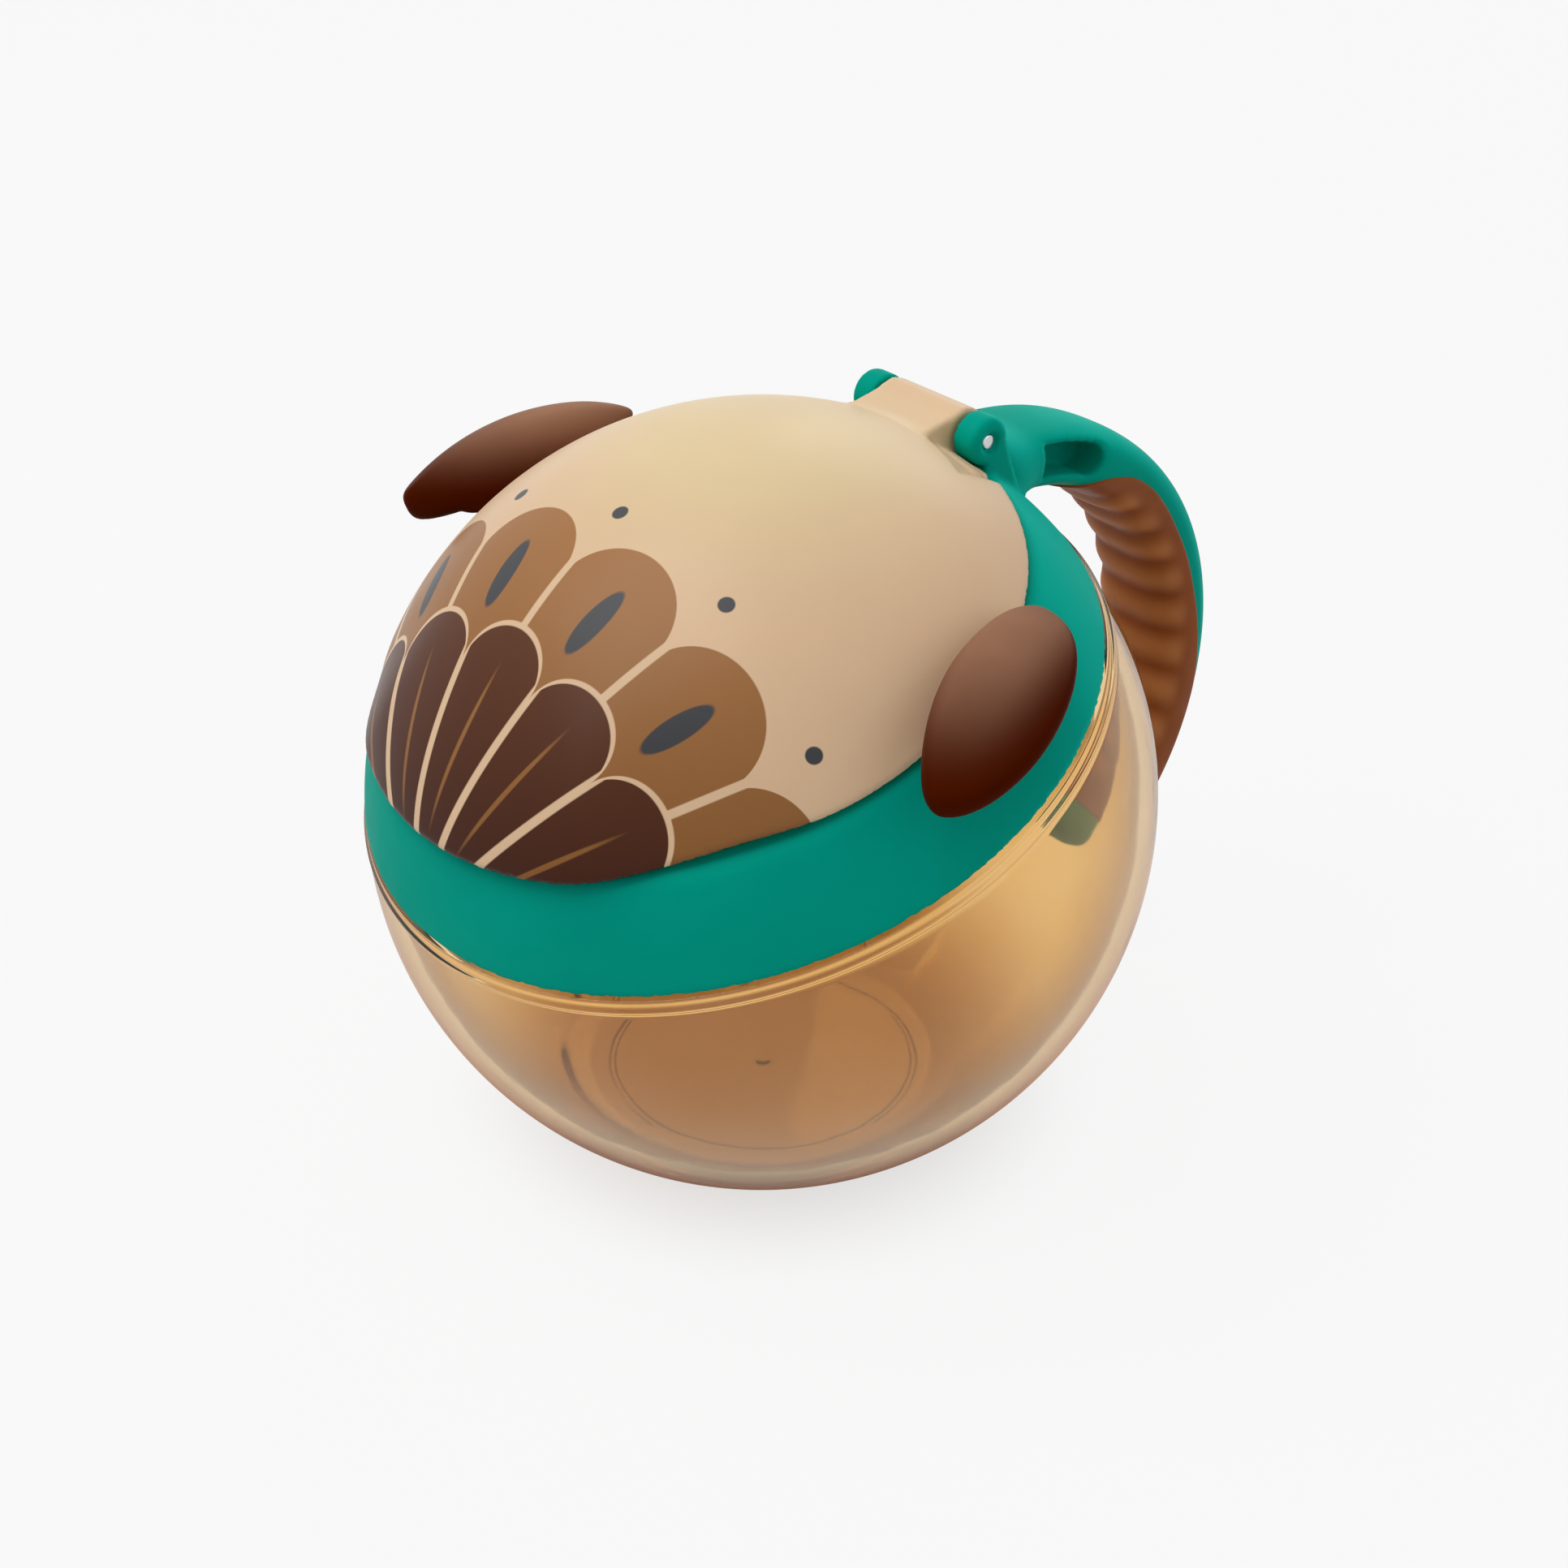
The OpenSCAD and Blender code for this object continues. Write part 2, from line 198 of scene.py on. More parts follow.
bpy.context.scene.view_settings.view_transform = "Standard"
makeCamera()
makeStage()
for name, (power, size, place) in lamps.items():
    lamp = newObject(name, bpy.data.lights.new(name, "AREA"))
    lamp.data.energy, lamp.data.size, lamp.location = power, size, place
    aim = Vector((0, 0, ballUp * mm)) - Vector(place)
    lamp.rotation_euler = aim.to_track_quat("-Z", "Y").to_euler()
print("camera, lamps and stage are in place")


# Finishes
def newFinish(name, look, paint=None):  # "paint" works out the colour from the place
    material = bpy.data.materials.new(name)
    where = wire(emptyTree(material), "ShaderNodeTexCoord", output="Object")
    moulded(where, paint(where) if paint else look["colour"], look)
    return material


def speckle(where, size, detail=3.0):  # noise whose grains are about this many mm
    return wire(None, "ShaderNodeTexNoise",
                {"Vector": where, "Scale": 1 / (size * mm), "Detail": detail, "Roughness": 0.55}, "Fac")


def moulded(where, colour, look):  # cloudy colour, uneven gloss and a fine orange peel
    cloud = between(speckle(where, look["cloud"]), 0.3, 0.7, 1 - look["uneven"], 1 + look["uneven"])
    clouds = wire(None, "ShaderNodeCombineColor", {0: cloud, 1: cloud, 2: cloud})
    gloss = between(speckle(where, look["cloud"] * 0.4, 5.0), 0.25, 0.75,
                    look["rough"] - look["roughSpread"], look["rough"] + look["roughSpread"])
    peel = wire(None, "ShaderNodeBump", {"Height": speckle(where, look["grain"], 2.0),
                                         "Strength": look["bump"], "Distance": look["depth"] * mm})
    surface = wire(None, "ShaderNodeBsdfPrincipled",
                   {"Base Color": blendColour(1.0, colour, clouds, "MULTIPLY"), "Roughness": gloss, "Normal": peel,
                    "Subsurface Weight": look.get("waxy", 0.0), "Subsurface Radius": (2 * mm, 1.2 * mm, 0.8 * mm),
                    "Subsurface Scale": 1.0, "Specular IOR Level": look.get("specular", 0.2),
                    "Metallic": look.get("metal", 0.0)})
    put(where.tree, "ShaderNodeOutputMaterial", {"Surface": surface})


# the back colour is the teal with painted light, for faces turned back
tealLook = {"colour": tint(0, 160, 140), "back": tint(0, 184, 164), "backLightShare": (0.05, 0.5), "cloud": 14,
            "uneven": 0.025, "rough": 0.5, "roughSpread": 0.04, "grain": 0.35, "bump": 0.12, "depth": 0.05,
            "specular": 0.016}
# the crown colour is the tan with painted light, for the top of the lid
tanLook = {"colour": tint(224, 190, 154), "crownLight": tint(226, 202, 158), "crownUp": 86, "crownFar": 32, "crownNear": 8,
           "cloud": 18, "uneven": 0.015, "rough": 0.34, "roughSpread": 0.03, "grain": 0.5, "bump": 0.06,
           "depth": 0.04, "waxy": 0.08, "specular": 0.16}
# the high colour is the lobe's brown with a painted highlight, the low colour with painted shade
lobeLook = {"high": tint(164, 120, 94), "low": tint(74, 20, 0), "lowAt": 66.5, "highAt": 79, "outward": -0.6,
            "contrast": 1.5, "shadeFrom": -0.2, "shadeTo": 0.55, "cloud": 9, "uneven": 0.04, "rough": 0.36,
            "roughSpread": 0.05, "grain": 0.22, "bump": 0.16, "depth": 0.04, "specular": 0.006}
# the ridge colour has a painted highlight, the valley colour painted shade
gripLook = {"ridge": tint(188, 120, 68), "valleyShade": tint(146, 78, 36), "cloud": 7, "uneven": 0.06, "rough": 0.5,
            "roughSpread": 0.06, "grain": 0.18, "bump": 0.25, "depth": 0.05, "specular": 0.12}
siliconeLook = {"colour": tint(232, 226, 212), "cloud": 8, "uneven": 0.03, "rough": 0.4, "roughSpread": 0.06,
                "grain": 0.2, "bump": 0.15, "depth": 0.03, "waxy": 0.35}
ringLook = {"colour": tint(226, 218, 200), "cloud": 10, "uneven": 0.02, "rough": 0.35, "roughSpread": 0.05,
            "grain": 0.3, "bump": 0.1, "depth": 0.03, "waxy": 0.1}
steelLook = {"colour": tint(205, 205, 206), "cloud": 2, "uneven": 0.05, "rough": 0.26, "roughSpread": 0.08,
             "grain": 0.12, "bump": 0.2, "depth": 0.02, "metal": 1.0}


def tealPaintedLight(where):  # painted light: a little lighter where it faces back
    back = parts(wire(where.tree, "ShaderNodeTexCoord", output="Normal"))[1]
    return blendColour(between(back, *tealLook["backLightShare"]), tealLook["colour"], tealLook["back"])


def lobePaintedLight(where):  # painted highlight on its back, painted shade on its outer wall and towards its low end
    x, _, height = parts(where)
    facing = wire(where.tree, "ShaderNodeTexCoord", output="Normal")
    shade = parts(facing)[0] * maths("SIGN", x) * lobeLook["outward"]
    shade += dot(facing, 0, -math.sin(tilt), math.cos(tilt))
    share = between(height, lobeLook["lowAt"] * mm, lobeLook["highAt"] * mm)
    share = maths("POWER", share * between(shade, lobeLook["shadeFrom"], lobeLook["shadeTo"]), lobeLook["contrast"])
    return blendColour(share, lobeLook["low"], lobeLook["high"])


def gripPaintedLight(where):  # painted highlight on the ribs and painted shade between them; "ridge" is 1 on a rib and 0 between two
    ridge = wire(where.tree, "ShaderNodeAttribute", output="Fac", attribute_name="ridge")
    return blendColour(ridge, gripLook["valleyShade"], gripLook["ridge"])


amberLook = {  # heights from the table in mm
    "deep": tint(240, 209, 152), "pale": tint(244, 218, 173), "edge": tint(204, 160, 110),
    # the base colours paint shade into the glass, darker towards the table
    "base": tint(180, 130, 78), "baseFrom": 0.5, "baseTo": 18.0,
    "rim": tint(214, 176, 132), "rimBaseShade": tint(178, 134, 88), "rimFrom": 2.0, "rimTo": 16.0,
    "denseLow": 0.85, "denseHigh": 0.35, "denseFrom": 4.0, "denseTo": 45.0,
    "shadow": tint(246, 230, 204), "grazeBlend": 0.22, "grazing": (0.2, 0.7), "cloud": 20,
    "rough": 0.035, "ior": 1.4, "ripple": 6.0, "rippleBump": 0.05, "rippleDeep": 0.4,
}


def amberFinish():  # tinted glass, denser and plain where it is seen at a slant, with painted shade towards the table
    material = bpy.data.materials.new("bowlAmber")
    tree, look = emptyTree(material), amberLook
    where = wire(tree, "ShaderNodeTexCoord", output="Object")
    height = parts(where)[2]

    def rising(name, *levels):
        return between(height, look[name + "From"] * mm, look[name + "To"] * mm, *levels)

    grazing = wire(tree, "ShaderNodeLayerWeight", {"Blend": look["grazeBlend"]}, "Facing")
    grazing = between(grazing, *look["grazing"])
    colour = blendColour(between(speckle(where, look["cloud"], 2.0), 0.3, 0.7), look["deep"], look["pale"])
    colour = blendColour(grazing, colour, look["edge"])
    # painted shade: the glass darker towards the table
    colour = blendColour(rising("base", 1.0, 0.0), colour, look["base"])
    bump = wire(tree, "ShaderNodeBump", {"Height": speckle(where, look["ripple"], 1.0),
                                         "Strength": look["rippleBump"], "Distance": look["rippleDeep"] * mm})
    glass = wire(tree, "ShaderNodeBsdfPrincipled",
                 {"Base Color": colour, "Roughness": look["rough"], "IOR": look["ior"],
                  "Transmission Weight": 1.0, "Normal": bump})
    shadow = wire(tree, "ShaderNodeLightPath", output="Is Shadow Ray")
    # painted shade: the slanting rim darker towards the table
    rim = blendColour(rising("rim"), look["rimBaseShade"], look["rim"])
    clear = wire(tree, "ShaderNodeBsdfTransparent", {"Color": blendColour(shadow, rim, look["shadow"])})
    dense = grazing * rising("dense", look["denseLow"], look["denseHigh"])
    both = wire(tree, "ShaderNodeMixShader", {0: maths("MAXIMUM", shadow, dense), 1: glass, 2: clear})
    put(tree, "ShaderNodeOutputMaterial", {"Surface": both})
    return material


# The lid's print: a fan of dark petals over mid-brown ones, with charcoal seeds and dots round it
printLook = {
    "hubPolar": 67.0,  # the fan's hub, down from the slanted axis, which is just under the rim
    "petals": 14, "inner": 34.5, "innerTip": 7.6, "outer": 50.0, "outerTip": 9.8, "gap": 0.6, "gapFrom": 9.0,
    "line": 0.8, "vein": 0.36, "veinFrom": 15.0, "veinTo": 35.0, "seedAt": 48.5, "seedLong": 5.4, "seedWide": 1.7,
    "dotAt": 62.5, "dotSize": 1.15, "edge": 0.12, "outside": (45.2, 45.5), "lowAt": 50, "highAt": 82,
    "dark": tint(60, 20, 2), "darkHigh": tint(104, 60, 34),
    "mid": tint(134, 86, 40), "midHigh": tint(168, 118, 72),
    "seed": tint(44, 44, 47), "seedHigh": tint(78, 79, 82),
}


def lidPaint(where):
    look, degree = printLook, 180 / math.pi
    slanted = wire(None, "ShaderNodeMapping", {"Vector": where, "Location": (0, 0, ballUp * mm),
                   "Rotation": (tilt, 0, 0), "Scale": (mm, mm, mm)}, vector_type="TEXTURE")
    outward = vectorMaths("NORMALIZE", slanted)
    polar = math.radians(look["hubPolar"])
    turn = maths("ARCTAN2", parts(outward)[0], dot(outward, 0, math.cos(polar), math.sin(polar)))
    fromHub = maths("ARCCOSINE", dot(outward, 0, -math.sin(polar), math.cos(polar)))
    spread = maths("SINE", fromHub) * degree  # degrees of arc for a turn of one
    reach = fromHub * degree
    half = math.pi / look["petals"]

    def row(shift):  # turn from the nearest petal's middle, and 0-1 towards its edge
        centred = maths("WRAP", turn + shift, half, -half)
        return centred, maths("ABSOLUTE", centred) / half

    def inside(distance):  # 1 inside a shape, for a signed distance in degrees
        return between(distance, look["edge"], -look["edge"])

    def petalBody(share, start, tip):
        curve = maths("SQRT", maths("SUBTRACT", 1.0, share * share, clamp=True))
        return inside(reach - (curve * tip + start))

    def petalLayer(share, start, tip):  # with the seams to its neighbours cut out
        seam = maths("MAXIMUM", (1.0 - share) * half * spread - look["gap"], look["gapFrom"] - reach)
        return maths("SUBTRACT", petalBody(share, start, tip), inside(seam), clamp=True)

    def spot(centred, at, long, wide):  # an oval mark along a petal's middle
        across, along = centred * spread / wide, (reach - at) / long
        return inside((maths("SQRT", across * across + along * along) - 1.0) * wide)

    turnIn, shareIn = row(0)
    turnOut, shareOut = row(half)
    petalIn = petalLayer(shareIn, look["inner"], look["innerTip"])
    rimIn = petalBody(shareIn, look["inner"] + look["line"], look["innerTip"])
    petalOut = maths("SUBTRACT", petalLayer(shareOut, look["outer"], look["outerTip"]), rimIn, clamp=True)
    seeds = maths("MAXIMUM", spot(turnOut, look["seedAt"], look["seedLong"], look["seedWide"]),
                  spot(turnIn, look["dotAt"], look["dotSize"], look["dotSize"]))
    veins = spot(turnIn, (look["veinFrom"] + look["veinTo"]) / 2, (look["veinTo"] - look["veinFrom"]) / 2, look["vein"])

    rise = between(parts(where)[2], look["lowAt"] * mm, look["highAt"] * mm, smooth=False)
    # painted light: the top of the lid lighter and yellower
    crownLight = between(vectorMaths("DISTANCE", where, (0, 0, tanLook["crownUp"] * mm), output=1),
                    tanLook["crownFar"] * mm, tanLook["crownNear"] * mm)
    plain = blendColour(crownLight, tanLook["colour"], tanLook["crownLight"])
    colour = plain
    for share, ink in ((petalOut, "mid"), (petalIn, "dark"), (veins, "mid"), (seeds, "seed")):
        colour = blendColour(share, colour, blendColour(rise, look[ink], look[ink + "High"]))
    return blendColour(between(vectorMaths("LENGTH", slanted, output=1), *look["outside"]), plain, colour)


finishes = {
    "teal": newFinish("collarTeal", tealLook, tealPaintedLight), "lid": newFinish("lidPlastic", tanLook, lidPaint),
    "lobe": newFinish("lobeRubber", lobeLook, lobePaintedLight), "grip": newFinish("gripRubber", gripLook, gripPaintedLight),
    "amber": amberFinish(), "silicone": newFinish("softSilicone", siliconeLook),
    "ring": newFinish("ringPlastic", ringLook), "steel": newFinish("pinSteel", steelLook),
}
print("materials are made")


# Mesh tools. Shapes are drawn in mm from the ball's centre
def toRow(points):  # mm from the ball's centre to metres from the table
    return np.asarray(points, float) * mm + np.array([0, 0, ballUp * mm])


def toUpright(points, lean=tilt):  # from a frame that leans forward
    x, u, w = np.asarray(points, float).T
    c, s = math.cos(lean), math.sin(lean)
    return np.stack([x, u * c - w * s, u * s + w * c], -1)


def hoop(radius, height, around, lean=tilt):  # a loop round the leaning axis
    a = np.linspace(0, 2 * np.pi, around, endpoint=False)
    return toUpright(np.stack([radius * np.cos(a), radius * np.sin(a), np.full(around, height)], -1), lean)


def slant(y, z):  # (back, up) to the slanted frame
    c, s = math.cos(tilt), math.sin(tilt)
    return y * c + z * s, z * c - y * s


def meshPiece(name, points, faces, finish, body, nodes=(), slotName=None, attributes=None):
    mesh = bpy.data.meshes.new(name)
    mesh.from_pydata(toRow(points).tolist(), [], [list(map(int, f)) for f in faces])
    mesh.polygons.foreach_set("use_smooth", np.ones(len(mesh.polygons), bool))
    for key, values in (attributes or {}).items():
        mesh.attributes.new(key, "FLOAT", "POINT").data.foreach_set("value", np.asarray(values, np.float32))
    mesh.materials.append(finishes[finish])
    mesh.validate()
    piece = newObject(name, mesh)
    settle(piece, body, nodes)
    return piece


def settle(piece, body, nodes):
    if body:
        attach(piece, body)
        if nodes:
            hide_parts(*nodes)


def softMax(a, b, k):  # the larger of two distances, with the edge rounded over about k mm
    h = np.clip(0.5 + 0.5 * (a - b) / k, 0, 1)
    return b + (a - b) * h + k * h * (1 - h)


def softMin(a, b, k):
    return -softMax(-a, -b, k)


def overlap(shape, *others):  # what all the shapes share
    for other in others:
        shape = np.maximum(shape, other)
    return shape


def cut(solid, k, *shapes):  # less what all the shapes share
    return softMax(solid, -overlap(*shapes), k)


def plump(n, sizes, least, flattest):  # a super-ellipse, from pairs of distance and half size
    level = sum((value / half) ** n for value, half in sizes)
    slope = np.sqrt(sum(((value / half) ** (n - 1) / half) ** 2 for value, half in sizes))
    size = np.maximum(level, least) ** (1 / n)
    return (size - 1) * size ** (n - 1) / np.maximum(slope, flattest)


def ease(value, low, high):
    t = np.clip((value - low) / (high - low), 0, 1)
    return t * t * (3 - 2 * t)


def onSurface(field, points, rounds, cell):  # moves points along the slope to where the field is zero
    h = 0.02
    for _ in range(rounds):
        here = field(*points.T)
        slope = np.stack([field(*(points + step).T) - field(*(points - step).T)
                          for step in np.eye(3) * h], -1) / (2 * h)
        size = np.maximum((slope ** 2).sum(-1), 0.05)
        move = -(here / size)[:, None] * slope
        length = np.linalg.norm(move, axis=1, keepdims=True)
        points = points + move * np.minimum(1, 0.6 * cell / np.maximum(length, 1e-9))
    return points, slope / np.linalg.norm(slope, axis=1, keepdims=True)


def carve(field, low, high, cell, smoothing=3):  # quads on the zero surface of a distance field
    low = np.array(low, float)
    count = np.ceil((np.array(high) - low) / cell).astype(int) + 1
    xs, ys, zs = (low[k] + cell * np.arange(count[k]) for k in range(3))
    values = np.empty(count, np.float32)
    for start in range(0, count[0], 12):
        values[start:start + 12] = field(*np.meshgrid(xs[start:start + 12], ys, zs, indexing="ij"))
    solid = values < 0
    corners = [(i, j, k) for i in (0, 1) for j in (0, 1) for k in (0, 1)]

    def at(array, corner):
        return array[tuple(slice(k, n - 1 + k) for k, n in zip(corner, count))]

    filled = sum(at(solid, c).astype(np.int8) for c in corners)
    mixed = (filled > 0) & (filled < 8)
    number = np.full(mixed.shape, -1, np.int64)
    number[mixed] = np.arange(mixed.sum())
    cells = np.argwhere(mixed)
    value = {c: at(values, c)[mixed].astype(float) for c in corners}
    total, hits = np.zeros((len(cells), 3)), np.zeros(len(cells))
    for a in corners:
        for axis in np.eye(3, dtype=int):
            b = tuple(np.maximum(a, axis))
            crossed = (value[a] < 0) != (value[b] < 0)
            t = value[a][crossed] / (value[a][crossed] - value[b][crossed])
            total[crossed] += a + t[:, None] * axis
            hits[crossed] += 1
    points = low + cell * (cells + total / hits[:, None])
    quads = []
    for axis in range(3):
        _, e, f = np.roll(np.eye(3, dtype=int), -axis, 0)
        spots = np.argwhere(solid != np.roll(solid, -1, axis))
        spots = spots[((spots >= e + f) & (spots < count - 1)).all(1)]
        ring = np.stack([number[tuple((spots - step).T)] for step in (e + f, f, 0, e)], -1)
        empty = ~solid[tuple(spots.T)]
        ring[empty] = ring[empty, ::-1]
        quads.append(ring)
    quads = np.concatenate(quads)
    quads = quads[(quads >= 0).all(1)]
    points, normal = onSurface(field, points, 3, cell)
    edges = np.concatenate([quads[:, [k, (k + 1) % 4]] for k in range(4)])
    for _ in range(smoothing):  # evens the spacing, then returns to the surface
        near = np.stack([np.bincount(edges[:, 0], points[edges[:, 1], k], len(points)) for k in range(3)], -1)
        many = np.bincount(edges[:, 0], minlength=len(points))
        pull = near / np.maximum(many, 1)[:, None] - points
        pull -= normal * (pull * normal).sum(1, keepdims=True)
        points, normal = onSurface(field, points + 0.6 * pull, 1, cell)
    return points, quads


def loopFaces(rows, around, closed=False):  # quads between rows of closed loops
    faces = []
    for i in range(rows if closed else rows - 1):
        a, b = i * around, (i + 1) % rows * around
        faces += [(a + j, a + (j + 1) % around, b + (j + 1) % around, b + j) for j in range(around)]
    return faces


def outwards(points, faces):  # turns the faces round if the shape is inside out
    total = sum(np.dot(points[face[0]], np.cross(points[face[k]], points[face[k + 1]]))
                for face in faces for k in range(1, len(face) - 1))
    return faces if total > 0 else [face[::-1] for face in faces]


def loftPiece(name, loops, finish, body, nodes, slotName, closed=False):  # an open end gets a fan round its middle
    around, last = len(loops[0]), len(loops) - 1
    points = np.concatenate(loops)
    faces = loopFaces(len(loops), around, closed)
    for end, flip in () if closed else ((0, True), (last, False)):
        for j in range(around):
            a, b = end * around + j, end * around + (j + 1) % around
            faces.append((b, a, len(points)) if flip else (a, b, len(points)))
        points = np.concatenate([points, loops[end].mean(0, keepdims=True)])
    meshPiece(name, points, outwards(points, faces), finish, body, nodes, slotName)


# Collar, lugs and handle are one moulding: a threaded band, two hinge lugs and the free-ended grab handle
collar = {
    "edgeRound": 1.5, "lowRound": 0.7, "bore": 36.0, "mouth": 33.6, "flangeLow": 23.8,
    "wall": 1.8, "skirt": 37.6, "hollowTop": 22.8,
    "knuckle": 2.88, "lugIn": 6.8, "lugOut": 10.3, "cheekProud": 0.12, "pinHole": 1.25, "pinFloor": 9.6,
    "cheek": 2.25, "plate": [(35.7, 29.0), (38.2, 31.4), (40.05, 30.4), (40.05, 20.3), (37.5, 21.0), (36.6, 25.0)],
    "rootBlend": 0.7, "lugBlend": 0.3,
    "saddle": 3.25, "saddleHalf": 2.6,  # room for the lid's knuckle
    "roomLow": 26.65, "roomDrop": 0.6, "roomRadius": 47.1, "roomPin": 2.97, "roomHalf": 10.6,  # room for the lid
    "bandRadius": 46.2,  # nothing reaches further out below the band's lower edge
    "cell": 0.5, "box": ((-46.6, -47, -28), (46.6, 72, 45)),
}
handle = {
    "halfWidth": 7.0, "halfThick": 4.14, "squareness": 2.6, "endAngle": -50.0, "rootEnd": 98.9,
    "flareFrom": 83.0, "flareTo": 98.0, "flare": 2.2,
    "crestFrom": 85.5, "crestTo": 98.8, "crestRise": 4.55, "crestPower": 2.1,
    "slotRadius": 32.55, "slotHalf": 1.98, "slotFrom": 84.0, "slotTo": 69.0, "slotFloor": 1.5,
}


def polygonField(corners, u, w):  # signed distance to a flat outline
    nearest, sign = np.full(u.shape, 1e9), np.ones(u.shape)
    for (au, aw), (bu, bw) in zip(corners, corners[-1:] + corners[:-1]):
        eu, ew = bu - au, bw - aw
        pu, pw = u - au, w - aw
        t = np.clip((pu * eu + pw * ew) / (eu * eu + ew * ew), 0, 1)
        nearest = np.minimum(nearest, (pu - t * eu) ** 2 + (pw - t * ew) ** 2)
        above, below, left = w >= aw, w < bw, eu * pw > ew * pu
        sign = np.where((above & below & left) | ~(above | below | left), -sign, sign)
    return sign * np.sqrt(nearest)


def alongHandle(y, z):  # distance from the arc's centre, and angle over the horizontal
    return np.hypot(y - arcBack, z - arcUp), np.degrees(np.arctan2(z - arcUp, y - arcBack))


def handleWide(angle):
    return handle["halfWidth"] + handle["flare"] * ease(angle, handle["flareFrom"], handle["flareTo"])


def handleField(x, y, z):
    reach, angle = alongHandle(y, z)
    end = math.radians(handle["endAngle"])
    back, up = y - arcBack, z - arcUp
    past = angle < handle["endAngle"]
    offset = np.where(past, back * math.cos(end) + up * math.sin(end) - arcR, reach - arcR)
    ahead = np.where(past, np.maximum(back * math.sin(end) - up * math.cos(end), 0), 0)
    rise = np.clip((angle - handle["crestFrom"]) / (handle["crestTo"] - handle["crestFrom"]), 0, 1.05)
    crest = handle["crestRise"] * rise ** handle["crestPower"]  # the root grows outwards
    thick = handle["halfThick"] + np.where(offset > 0, crest, 0)
    sizes = [(np.abs(x), handleWide(angle)), (np.abs(offset), thick), (ahead, handle["halfThick"])]
    body = plump(handle["squareness"], sizes, 1e-4, 0.02)
    return softMax(body, np.radians(angle - handle["rootEnd"]) * reach, 1.0)


def handleSlot(x, y, z):  # square towards the hinge, round towards the grip
    reach, angle = alongHandle(y, z)
    stop = math.radians(handle["slotTo"])
    roundEnd = np.hypot(y - arcBack - handle["slotRadius"] * math.cos(stop),
                        z - arcUp - handle["slotRadius"] * math.sin(stop))
    across = np.where(angle < handle["slotTo"], roundEnd, np.abs(reach - handle["slotRadius"])) - handle["slotHalf"]
    along = np.radians(angle - handle["slotFrom"]) * reach
    return softMax(softMax(across, along, 0.6), handle["slotFloor"] - np.abs(x), 0.6)


def collarField(x, y, z):
    u, w = slant(y, z)
    side, ring = np.abs(x), np.hypot(x, u)
    ball, pin = np.hypot(ring, w), np.hypot(u - pinBack, w - pinUp)
    band = softMax(softMax(ball - ballR, w - collarTop, collar["edgeRound"]), collarLow - w, collar["lowRound"])
    grab = softMax(handleField(x, y, z), -handleSlot(x, y, z), 0.9)
    solid = softMin(band, grab, collar["rootBlend"])
    barrel = softMax(pin - collar["knuckle"], side - collar["lugOut"] + collar["cheekProud"], 0.9)
    cheek = np.minimum(polygonField(collar["plate"], u, w), pin - collar["cheek"])
    plate = softMax(cheek, side - collar["lugOut"], 0.35)
    lug = softMax(np.minimum(barrel, plate), collar["lugIn"] - side, 0.4)
    solid = softMin(solid, lug, collar["lugBlend"])
    lidBall = np.hypot(ring, w + collar["roomDrop"]) - collar["roomRadius"]
    lugs = np.maximum(pin - collar["roomPin"], side - collar["roomHalf"])
    solid = cut(solid, 0.4, collar["roomLow"] - w, lidBall, -lugs)
    tabRoom = np.minimum(pin - collar["saddle"], np.maximum(u - pinBack, np.abs(w - pinUp) - collar["saddleHalf"]))
    solid = cut(solid, 0.5, tabRoom, side - collar["lugIn"])
    solid = cut(solid, 0.25, pin - collar["pinHole"], collar["pinFloor"] - side)
    solid = cut(solid, 0.3, ball - collar["bandRadius"], w - collarLow)
    solid = cut(solid, 0.5, ball - ballR + collar["wall"], w - collar["hollowTop"], collar["skirt"] - ring)
    solid = cut(solid, 0.4, ring - collar["bore"], w - collar["flangeLow"])
    return softMax(solid, collar["mouth"] - ring, 0.8)


meshPiece("collarAndHandle", *carve(collarField, *collar["box"], collar["cell"]),
          "teal", "collar", ("collar",), "collar_plastic")
print("collar and handle are carved")


# The lid: a dome with a swollen front, a knuckle on the pin and room round the two lugs
lid = {
    "radius": 46.695, "drop": 0.6, "wall": 2.0, "low": 26.8, "rimRound": 0.9,
    "swell": 1.3, "swellFull": 26.0, "swellEnd": 46.0, "swellLow": 28.3, "swellTop": 41.0,
    "waveAt": 56.0, "waveWide": 12.0, "wave": 0.7,
    "facetMiddle": 9.9, "facetHalf": 4.0, "facetFrom": 33.1, "facetLong": 4.6, "facetDeep": 0.5, "facetDeeper": 1.2,
    "tabHalf": 6.15, "tab": [(37.8, 27.0), (37.8, 29.2), (38.8, 31.9), (32.3, 33.0), (31.0, 30.0), (33.0, 26.8)],
    "tabBlend": 0.8, "plugOut": 32.9, "plugIn": 31.4, "plugLow": 24.5, "shelf": 1.0, "shelfIn": 1.5,
    "house": 4.6, "houseHalf": 12.0, "houseRadius": 46.2,  # the wall round the lugs
    "lugRoom": 3.05, "lugMiddle": 8.75, "lugHalf": 2.4, "pinHole": 1.06,
    "sealRing": 35.0, "sealHalf": 0.8, "sealTop": 27.65,
    "cell": 0.45, "box": ((-47.6, -47.5, 7), (47.6, 47.5, 47.5)),
}


